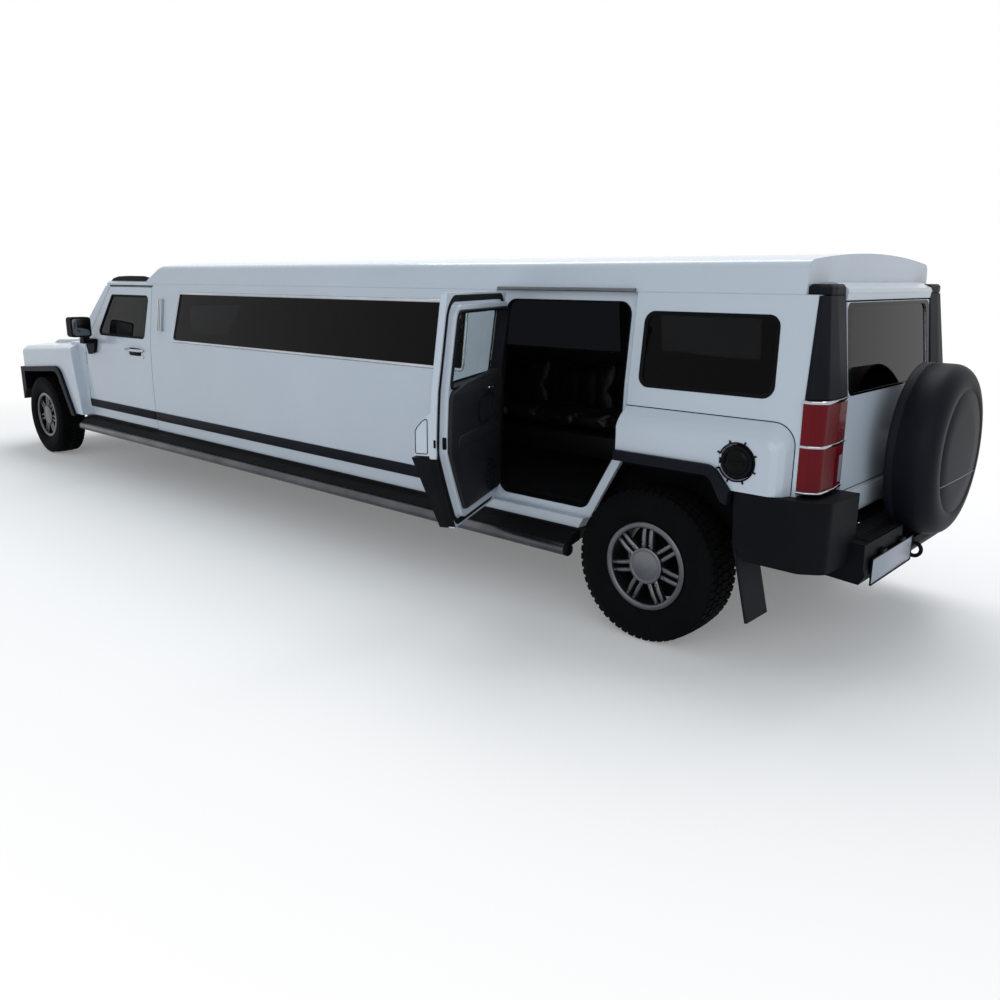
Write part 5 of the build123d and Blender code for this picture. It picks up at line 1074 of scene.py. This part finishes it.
# Rims: barrel with rolled lips, seven pairs of round-edged spokes, studs, plain cap and brake disc
BARREL = [
    (0.1115, 0.2047), (0.1125, 0.214), (0.1118, 0.225), (0.1085, 0.2292), (0.1040, 0.2288),
    (0.1008, 0.2250), (0.1000, 0.2165), (-0.1000, 0.2165), (-0.1008, 0.2250), (-0.1040, 0.2290),
    (-0.1120, 0.2290), (-0.1120, 0.2047), (0.0700, 0.2047), (0.0950, 0.1985), (0.1060, 0.1990),
]
HUB = [(-0.088, 0.0308), (0.0592, 0.0308), (0.0592, 0.062), (-0.088, 0.066)]
DISC = [(-0.108, 0.0308), (-0.108, 0.152), (-0.104, 0.155)]
DISC += [(-0.092, 0.155), (-0.088, 0.152), (-0.088, 0.0308)]
CAP = [(0.061, 0.0), (0.061, 0.088), (0.094, 0.095), (0.100, 0.094), (0.1035, 0.088)]
CAP += [(0.1030, 0.080), (0.1010, 0.077), (0.1025, 0.072), (0.1060, 0.0)]
DISH = [(-0.074, 0.068), (-0.060, 0.120), (-0.058, 0.196), (-0.066, 0.200)]
DISH += [(-0.072, 0.196), (-0.080, 0.120), (-0.084, 0.070)]
SPOKE_PAIRS, SPOKE_APART = 7, 0.0205
SPOKE_LINE = ((0.060, 0.078), (0.095, 0.092), (0.150, 0.095), (0.185, 0.091), (0.2045, 0.086))
SPOKE = [(-0.0125, -0.007), (-0.0085, -0.001), (0.0, 0.001), (0.0085, -0.001), (0.0125, -0.007)]
SPOKE += [(0.0115, -0.030), (-0.0115, -0.030)]
STUDS = ((0.110, 0.0935, 0.0085, 0.006), (0.196, 0.089, 0.0070, 0.005))  # reach, along, radius, height
WHEELS = [(place, x, side, word) for place, x in (("front", FX), ("rear", RX)) for side, word in SIDES]
for where, x, side, word in WHEELS:
    body = f"wheel_{where}_{word}"
    centre = Vector((x, side * WHEEL_Y, HUB_Z))
    axis = Vector((0, side, 0))
    mesh = bmesh.new()
    lathe(mesh, TYRE, centre, axis, 96, True)
    for low, high, top, shift, share in TREAD:
        for k in range(PITCHES):
            start = 2 * math.pi * (k + shift) / PITCHES
            tread_block(mesh, centre, (low, high), top, (start, start + 2 * math.pi * share / PITCHES))
    tread = piece(f"tread_{where}_{word}", mesh, black["tyre_rubber"], body)
    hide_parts(f"tyre_{where}_{word}")
    mesh = bmesh.new()
    lathe(mesh, BARREL, centre, axis, 72, True)
    lathe(mesh, HUB, centre, axis, 48, True)
    for k in range(SPOKE_PAIRS):
        turn = 2 * math.pi * k / SPOKE_PAIRS + math.pi / 2
        reach = wheel_way(turn)
        cross = Vector((-math.sin(turn), 0, math.cos(turn)))
        for shift in (-SPOKE_APART, SPOKE_APART):
            rows = []
            for r, along in SPOKE_LINE:
                base = centre + reach * r + axis * along + cross * shift
                rows.append([base + cross * w + axis * deep for w, deep in SPOKE])
            skin(mesh, rows)
            for r, along, wide, tall in STUDS:
                dome(mesh, centre + reach * r + cross * shift + axis * along, axis, wide, tall)
    spokes = piece(f"spokes_{where}_{word}", mesh, alloy, body, angle=45)
    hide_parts(f"rim_{where}_{word}")
    spun(f"hub_cap_{where}_{word}", CAP, centre, axis, 56, alloy, body)
    spun(f"brake_disc_{where}_{word}", DISC, centre, axis, 56, metal["exhaust_steel"], body, True)
    spun(f"wheel_dish_{where}_{word}", DISH, centre, axis, 56, black["chassis_black"], body, True)

# Front: screen gasket and wipers, lamps, corner lenses, bumper trim
SCREEN_LOW, SCREEN_HIGH = Vector((FX - 0.785, 0, 1.192)), Vector((FX - 1.383, 0, 1.742))
SCREEN_UP = (SCREEN_HIGH - SCREEN_LOW).normalized()
SCREEN_OUT = Vector((SCREEN_UP.z, 0, -SCREEN_UP.x))
SCREEN = [(-0.780, 0.003), (0.780, 0.003), (0.727, 0.796), (-0.727, 0.796)]
SCREEN_SEAL = [(0.003, 0.0005), (0.003, 0.004), (-0.006, 0.0055), (-0.016, 0.003), (-0.018, 0.0005)]
WIPER_ARM = ((0.0, 0.030, 0.012), (-0.05, 0.050, 0.030), (-0.28, 0.085, 0.022))
WIPER_BLADE = ((-0.50, 0.062, 0.009), (-0.28, 0.080, 0.011), (0.02, 0.094, 0.009))
NOSE_X, BUMPER_X = FX + 0.430, FX + 0.720
HEAD_Y, HEAD_Z = 0.500, 0.958
FOG_X, FOG_Y, FOG_Z, FOG_TURN = FX + 0.690, 0.640, 0.720, 0.16
BEZEL = [(0.0004, 0.0803), (0.010, 0.0815), (0.014, 0.086), (0.010, 0.093), (0.0004, 0.095)]
BOWL = [(-0.052, 0.0), (-0.052, 0.020), (-0.044, 0.045), (-0.026, 0.064), (-0.010, 0.072)]
BOWL += [(-0.010, 0.069), (-0.028, 0.058), (-0.042, 0.040), (-0.046, 0.0)]
CORNER_LENS = soft_oblong((0.700, 0.930), (0.880, 1.000), 0.020)
FOG_BEZEL = [(-0.004, 0.0), (-0.004, 0.060), (0.014, 0.060), (0.017, 0.054), (0.010, 0.048), (0.010, 0.0)]
FOG_LENS = [(0.0105, 0.0), (0.0105, 0.047), (0.015, 0.040), (0.018, 0.020), (0.019, 0.0)]


def on_screen(y, up, out):
    """Placing function on the windscreen's outer face."""
    return SCREEN_LOW + SCREEN_UP * up + SCREEN_OUT * out + Vector((0, y, 0))


strip("windscreen_seal", rounded(SCREEN, 0.030), SCREEN_SEAL, on_screen, rubber)
mesh = bmesh.new()
for y in (-0.30, 0.36):
    for spots, radius in ((WIPER_ARM, 0.006), (WIPER_BLADE, 0.005)):
        tube(mesh, [on_screen(y + shift, up, out) for shift, up, out in spots], radius, 8)
    dome(mesh, on_screen(y, 0.030, 0.006), SCREEN_OUT, 0.014, 0.018)
piece("wipers", mesh, plastic)
for side, word in SIDES:
    lamp = Vector((NOSE_X + 0.008, side * HEAD_Y, HEAD_Z))
    mesh = bmesh.new()
    lathe(mesh, BEZEL, lamp, (1, 0, 0), 48, True)
    lathe(mesh, BOWL, lamp, (1, 0, 0), 40)
    dome(mesh, lamp + Vector((-0.047, 0, 0)), (1, 0, 0), 0.012, 0.020)
    piece(f"headlamp_bezel_{word}", mesh, chrome)
    plate(f"corner_lens_{word}", CORNER_LENS, (0.0004, 0.012), 0.006, facing(NOSE_X, 1, side), amber)
    fog = Vector((FOG_X, side * FOG_Y, FOG_Z))
    ahead = Vector((1, side * FOG_TURN, 0)).normalized()
    spun(f"fog_bezel_{word}", FOG_BEZEL, fog, ahead, 36, satin)
    spun(f"fog_lens_{word}", FOG_LENS, fog, ahead, 32, pale_lens, slot="lamp_glass")
mesh = bmesh.new()
for k in range(4):
    z = 0.668 + 0.034 * k
    rib = soft_oblong((-0.440, z), (0.440, z + 0.020), 0.008, 3)
    panel(mesh, rib, -0.002, 0.007, 0.004, facing(BUMPER_X, 1))
piece("bumper_ribs", mesh, satin)

# Engine bay: ribbed cover, air box, filler cap, pulleys with belt, coolant pipe, liner under the hood
COVER_LOW, COVER_HIGH, PULLEY_X = 1.0204, 1.056, FX + 0.2004
FILLER_CAP = [(0.0, 0.0), (0.0, 0.030), (0.012, 0.034), (0.022, 0.032), (0.026, 0.020), (0.026, 0.0)]
PULLEYS = [(0.0, 0.760, 0.085), (-0.165, 0.900, 0.052), (0.150, 0.930, 0.062)]  # y, z, radius
BELT_BAND = [(0.0, 0.0115), (0.004, 0.0115), (0.004, 0.0185), (0.0, 0.0185)]
PIPE = [(FX + 0.216, 0.195, 0.985), (FX + 0.250, 0.215, 0.990), (FX + 0.304, 0.250, 0.975)]
HOOD_UNDER = ((FX - 0.752, 1.158), (FX + 0.225, 1.108))


def under_hood(x, y, out):
    """Placing function on the hood's flat underside."""
    share = (x - HOOD_UNDER[0][0]) / (HOOD_UNDER[1][0] - HOOD_UNDER[0][0])
    return Vector((x, y, HOOD_UNDER[0][1] + share * (HOOD_UNDER[1][1] - HOOD_UNDER[0][1]) + out))


mesh = bmesh.new()
block(mesh, (FX - 0.450, -0.175, COVER_LOW), (FX + 0.150, 0.175, COVER_HIGH), 0.016)
for k in range(6):
    y = -0.125 + 0.050 * k
    low = (FX - 0.400, y - 0.009, COVER_HIGH - 0.003)
    block(mesh, low, (FX + 0.100, y + 0.009, COVER_HIGH + 0.008), 0.004)
block(mesh, (FX - 0.605, -0.215, COVER_LOW), (FX - 0.490, 0.215, COVER_HIGH + 0.010), 0.024)
lathe(mesh, FILLER_CAP, (FX - 0.080, 0.212, COVER_LOW), (0, 0, 1), 24)
piece("engine_cover", mesh, plastic)
mesh = bmesh.new()
belt = []
for y, z, r in PULLEYS:
    groove = r - 0.012
    profile = [(0.0, 0.0), (0.0, r), (0.006, r), (0.010, groove), (0.020, groove), (0.024, r), (0.030, r)]
    profile += [(0.030, 0.45 * r), (0.022, 0.40 * r), (0.022, 0.22 * r), (0.034, 0.18 * r), (0.034, 0.0)]
    lathe(mesh, profile, (PULLEY_X, y, z), (1, 0, 0), 32)
    belt += circle(y, z, groove + 0.0005)
piece("engine_pulleys", mesh, steel, slot="engine_cast")
belt = [belt[k] for k in geometry.convex_hull_2d(belt)]
mesh = bmesh.new()
band(mesh, belt, BELT_BAND, facing(PULLEY_X, 1))
tube(mesh, PIPE, 0.022, 16)
piece("engine_belt", mesh, rubber)
liner = soft_oblong((FX - 0.660, -0.540), (FX + 0.150, 0.540), 0.070)
plate("hood_liner", liner, (-0.0005, -0.012), 0.008, under_hood, carpet, "hood", slot="black_plastic")

# Cabin: carpet, roof lining, partition behind the driver
CARPETS = (
    ((RX + 0.500, -0.770), (FX - 0.870, 0.770)),
    ((RX - 0.640, -0.620), (RX + 0.495, 0.620)),
)
LINING_REAR, LINING_FRONT = RX - 0.598, FX - 2.49
ARCH = [(0.720, 1.750), (0.712, 1.826), (0.560, 1.842), (0.360, 1.855), (0.160, 1.862), (0.0, 1.864)]
ARCH += [(-y, z) for y, z in reversed(ARCH[:-1])]
WALL_REAR, WALL_FRONT = FX - 2.330, FX - 2.290
mesh = bmesh.new()
for low, high in CARPETS:
    panel(mesh, soft_oblong(low, high, 0.03), 0.0003, 0.004, 0.002, on_level(0.630))
piece("carpet", mesh, carpet)
mesh = bmesh.new()
rows = []
for y, z in ARCH:
    pull = 0.004 * ((y < -0.70) - (y > 0.70))
    upper = [Vector((x, y, z)) for x in (LINING_REAR, LINING_FRONT)]
    rows.append(upper + [Vector((x, y + pull, z - 0.005)) for x in (LINING_FRONT, LINING_REAR)])
skin(mesh, rows)
piece("roof_lining", mesh, black["headliner"])
mesh = bmesh.new()
wall = soft_oblong((-0.700, 0.640), (0.700, 1.735), 0.05)
hatch = soft_oblong((-0.520, 1.220), (0.520, 1.560), 0.05)
rows = []
for a, b in zip(wall, hatch):
    spots = ((WALL_REAR, a), (WALL_FRONT, a), (WALL_FRONT, b), (WALL_REAR, b))
    rows.append([Vector((x, p.x, p.y)) for x, p in spots])
skin(mesh, rows, True)
piece("partition", mesh, black["headliner"])

# Seats: each pad is swelled by a cloth simulation and fitted into its place
PLINTH_TOP = 0.795
FLOOR_TOP = 0.635
LOUNGE_X = (RX + 0.700, FX - 2.450)
LOUNGE_SEATS = 7
LOUNGE_PITCH = (LOUNGE_X[1] - LOUNGE_X[0]) / LOUNGE_SEATS
PAD_GRID, PAD_PRESSURE, PAD_FRAMES = 0.020, 4.0, 14
CHANNEL_DEEP, CHANNEL_WIDE = 0.012, 0.022


def swelled(size, channels):
    """Mesh of a pad of a size, centred on its base, crowned and with sewn channels across it."""
    mesh = bmesh.new()
    block(mesh, [-0.5 * s for s in size], [0.5 * s for s in size], 0.30 * min(size), 3)
    data = bpy.data.meshes.new("pad")
    mesh.to_mesh(data)
    mesh.free()
    pad = bpy.data.objects.new("pad", data)
    bpy.context.scene.collection.objects.link(pad)
    grid = pad.modifiers.new("grid", "REMESH")
    grid.mode = "VOXEL"
    grid.voxel_size = PAD_GRID
    cloth = pad.modifiers.new("cloth", "CLOTH")
    cloth.settings.use_pressure = True
    cloth.settings.uniform_pressure_force = PAD_PRESSURE
    cloth.settings.effector_weights.gravity = 0.0
    cloth.settings.quality = 4
    cloth.point_cache.frame_start = 1
    cloth.point_cache.frame_end = PAD_FRAMES
    for step in range(1, PAD_FRAMES + 1):
        bpy.context.scene.frame_set(step)
    ready = pad.evaluated_get(bpy.context.evaluated_depsgraph_get())
    made = bpy.data.meshes.new_from_object(ready)
    bpy.data.objects.remove(pad)
    bpy.context.scene.frame_set(1)
    low = [min(v.co[i] for v in made.vertices) for i in range(3)]
    high = [max(v.co[i] for v in made.vertices) for i in range(3)]
    for vert in made.vertices:
        share = [(vert.co[i] - low[i]) / (high[i] - low[i]) for i in range(3)]
        vert.co = Vector([(share[0] - 0.5) * size[0], (share[1] - 0.5) * size[1], share[2] * size[2]])
        for place in channels:
            off = vert.co.x - place * size[0]
            fall = math.exp(-((off / CHANNEL_WIDE) ** 2))
            vert.co.z -= CHANNEL_DEEP * fall * max(0.0, share[2] - 0.4) / 0.6
    return made


def seat(name, size, channels, spots, side_way, up_way, plinths):
    """Pads of one kind at their base points, with the directions of their width and depth."""
    across, along = Vector(side_way), Vector(up_way)
    turn = Matrix((across, along, across.cross(along))).transposed().to_4x4()
    pad = swelled(size, channels)
    mesh = bmesh.new()
    for spot in spots:
        start = len(mesh.verts)
        mesh.from_mesh(pad)
        mesh.verts.ensure_lookup_table()
        for vert in mesh.verts[start:]:
            vert.co = Matrix.Translation(spot) @ turn @ vert.co
    made = piece(name, mesh, hide, angle=80)
    if plinths:
        mesh = bmesh.new()
        for low, high in plinths:
            block(mesh, low, high, 0.018)
        piece(f"{name}_plinth", mesh, hide)
    return made


AHEAD, BACK, ACROSS, UP = (1, 0, 0), (-1, 0, 0), (0, 1, 0), (0, 0, 1)
QUARTERS = (-0.25, 0.0, 0.25)
BENCH_Y, FRONT_Y = (-0.300, 0.300), (-0.380, 0.380)
lounge_mid = [LOUNGE_X[0] + LOUNGE_PITCH * (k + 0.5) for k in range(LOUNGE_SEATS)]
front_mid = FX - 1.500
lounge_base = ((LOUNGE_X[0], -0.738, FLOOR_TOP), (LOUNGE_X[1], -0.160, PLINTH_TOP))
bench_base = ((RX - 0.555, -0.596, FLOOR_TOP), (RX + 0.185, 0.596, PLINTH_TOP))
front_bases = []
for y in FRONT_Y:
    front_bases.append(
        ((front_mid - 0.21, y - 0.20, FLOOR_TOP), (front_mid + 0.20, y + 0.20, PLINTH_TOP))
    )
SEATS = [  # name, pad size, channels, base points, width direction, depth direction, plinths
    ("lounge_seat", (LOUNGE_PITCH - 0.004, 0.436, 0.165), QUARTERS)
    + ([(x, -0.370, PLINTH_TOP) for x in lounge_mid], AHEAD, ACROSS, [lounge_base]),
    ("lounge_back", (LOUNGE_PITCH - 0.004, 0.430, 0.140), QUARTERS)
    + ([(x, -0.738, 1.013) for x in lounge_mid], BACK, UP, []),
    ("rear_seat", (0.596, 0.546, 0.165), QUARTERS)
    + ([(RX - 0.075, y, PLINTH_TOP) for y in BENCH_Y], ACROSS, BACK, [bench_base]),
    ("rear_back", (0.596, 0.530, 0.190), QUARTERS)
    + ([(RX - 0.555, y, 1.063) for y in BENCH_Y], ACROSS, UP, []),
    ("front_seat", (0.490, 0.490, 0.165), (-0.22, 0.22))
    + ([(front_mid, y, PLINTH_TOP) for y in FRONT_Y], ACROSS, BACK, front_bases),
    ("front_back", (0.470, 0.500, 0.140), (-0.25, 0.25))
    + ([(FX - 1.897, y, 1.048) for y in FRONT_Y], ACROSS, UP, []),
    ("head_rest", (0.270, 0.125, 0.100), ())
    + ([(FX - 1.885, y, 1.364) for y in FRONT_Y], ACROSS, UP, []),
]
pads = [seat(*row) for row in SEATS]
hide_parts("seats")

# Floor, light and camera
REACH = 60.0
floor_mesh = bpy.data.meshes.new("studio_floor")
floor_mesh.from_pydata(
    [(-REACH, -REACH, 0), (REACH, -REACH, 0), (REACH, REACH, 0), (-REACH, REACH, 0)], [], [(0, 1, 2, 3)]
)
ground = bpy.data.objects.new("studio_floor", floor_mesh)
bpy.context.scene.collection.objects.link(ground)


def seen_directly(tree):
    """1 for rays that show the background: camera, mirror and glass rays."""
    path = node(tree, "LightPath")
    mirror = sum_node(tree, "MAXIMUM", path.outputs["Is Glossy Ray"], path.outputs["Is Transmission Ray"])
    return sum_node(tree, "MAXIMUM", path.outputs["Is Camera Ray"], mirror)


FLOOR_LIFT, FLOOR_SQUEEZE, FLOOR_FADE = 0.18, (0.13, 0.26, 1), (0.60, 1.10)
floor_look, tree, main = shader("studio_floor")
seen = seen_directly(tree)
looks = {
    "Base Color": (0.88, 0.87, 0.86, 1),
    "Roughness": 0.9,
    "Specular IOR Level": 0.1,
    "Emission Color": (1, 1, 1, 1),
    "Emission Strength": sum_node(tree, "MULTIPLY", seen, FLOOR_LIFT),
}
fill(tree, main, looks)
squeeze = node(tree, "Mapping", Vector=own_place(tree), Scale=FLOOR_SQUEEZE)
far = node(tree, "VectorMath")
far.operation = "LENGTH"
fill(tree, far, {0: squeeze.outputs["Vector"]})
fade = spread_value(tree, far.outputs["Value"], 0.0, 1.0, *FLOOR_FADE)
glow = node(tree, "Emission")
blend = node(tree, "MixShader", Fac=sum_node(tree, "MULTIPLY", seen, fade))
fill(tree, blend, {1: main.outputs["BSDF"], 2: glow.outputs["Emission"]})
fill(tree, tree.nodes["Material Output"], {"Surface": blend.outputs["Shader"]})
floor_mesh.materials.append(floor_look)

SKY_COLOUR, SKY_POWER = (0.80, 0.91, 1.0, 1), 0.45
world = bpy.data.worlds.new("studio")
bpy.context.scene.world = world
world.use_nodes = True
tree = world.node_tree
sky = tree.nodes["Background"]
fill(tree, sky, {"Color": SKY_COLOUR, "Strength": SKY_POWER})
backdrop = node(tree, "Background", Color=(1, 1, 1, 1))
choose = node(tree, "MixShader", Fac=seen_directly(tree))
fill(tree, choose, {1: sky.outputs["Background"], 2: backdrop.outputs["Background"]})
fill(tree, tree.nodes["World Output"], {"Surface": choose.outputs["Shader"]})


def softbox(name, place, target, size, power):
    """Large soft lamp aimed at a point."""
    data = bpy.data.lights.new(name, "AREA")
    data.shape = "RECTANGLE"
    data.size, data.size_y = size
    data.energy = power
    lamp = bpy.data.objects.new(name, data)
    lamp.location = place
    lamp.rotation_euler = (Vector(target) - Vector(place)).to_track_quat("-Z", "Y").to_euler()
    bpy.context.scene.collection.objects.link(lamp)


softbox("softbox_top", (0.5, -3.0, 8.5), (0, 0.4, 0.6), (11, 5), 620)
softbox("softbox_left", (-7.0, 7.0, 4.0), (-2.0, 0, 1.0), (9, 4), 130)

CAMERA_AT = Vector((-5.981, 4.577, 1.802))
YAW, PITCH, ROLL = math.radians(-48.01), math.radians(14.04), math.radians(0.35)
LENS, SENSOR = 31.8, 36.0
ahead = Vector((math.cos(PITCH) * math.cos(YAW), math.cos(PITCH) * math.sin(YAW), -math.sin(PITCH)))
level = Vector((math.sin(YAW), -math.cos(YAW), 0))
upright = level.cross(ahead)
across = level * math.cos(ROLL) + upright * math.sin(ROLL)
upright = upright * math.cos(ROLL) - level * math.sin(ROLL)
camera_data = bpy.data.cameras.new("camera")
camera_data.lens = LENS
camera_data.sensor_width = SENSOR
camera = bpy.data.objects.new("camera", camera_data)
bpy.context.scene.collection.objects.link(camera)
turned = Matrix((across, upright, -ahead)).transposed().to_4x4()
camera.matrix_world = Matrix.Translation(CAMERA_AT) @ turned
bpy.context.scene.camera = camera
bpy.context.scene.view_settings.view_transform = "Standard"
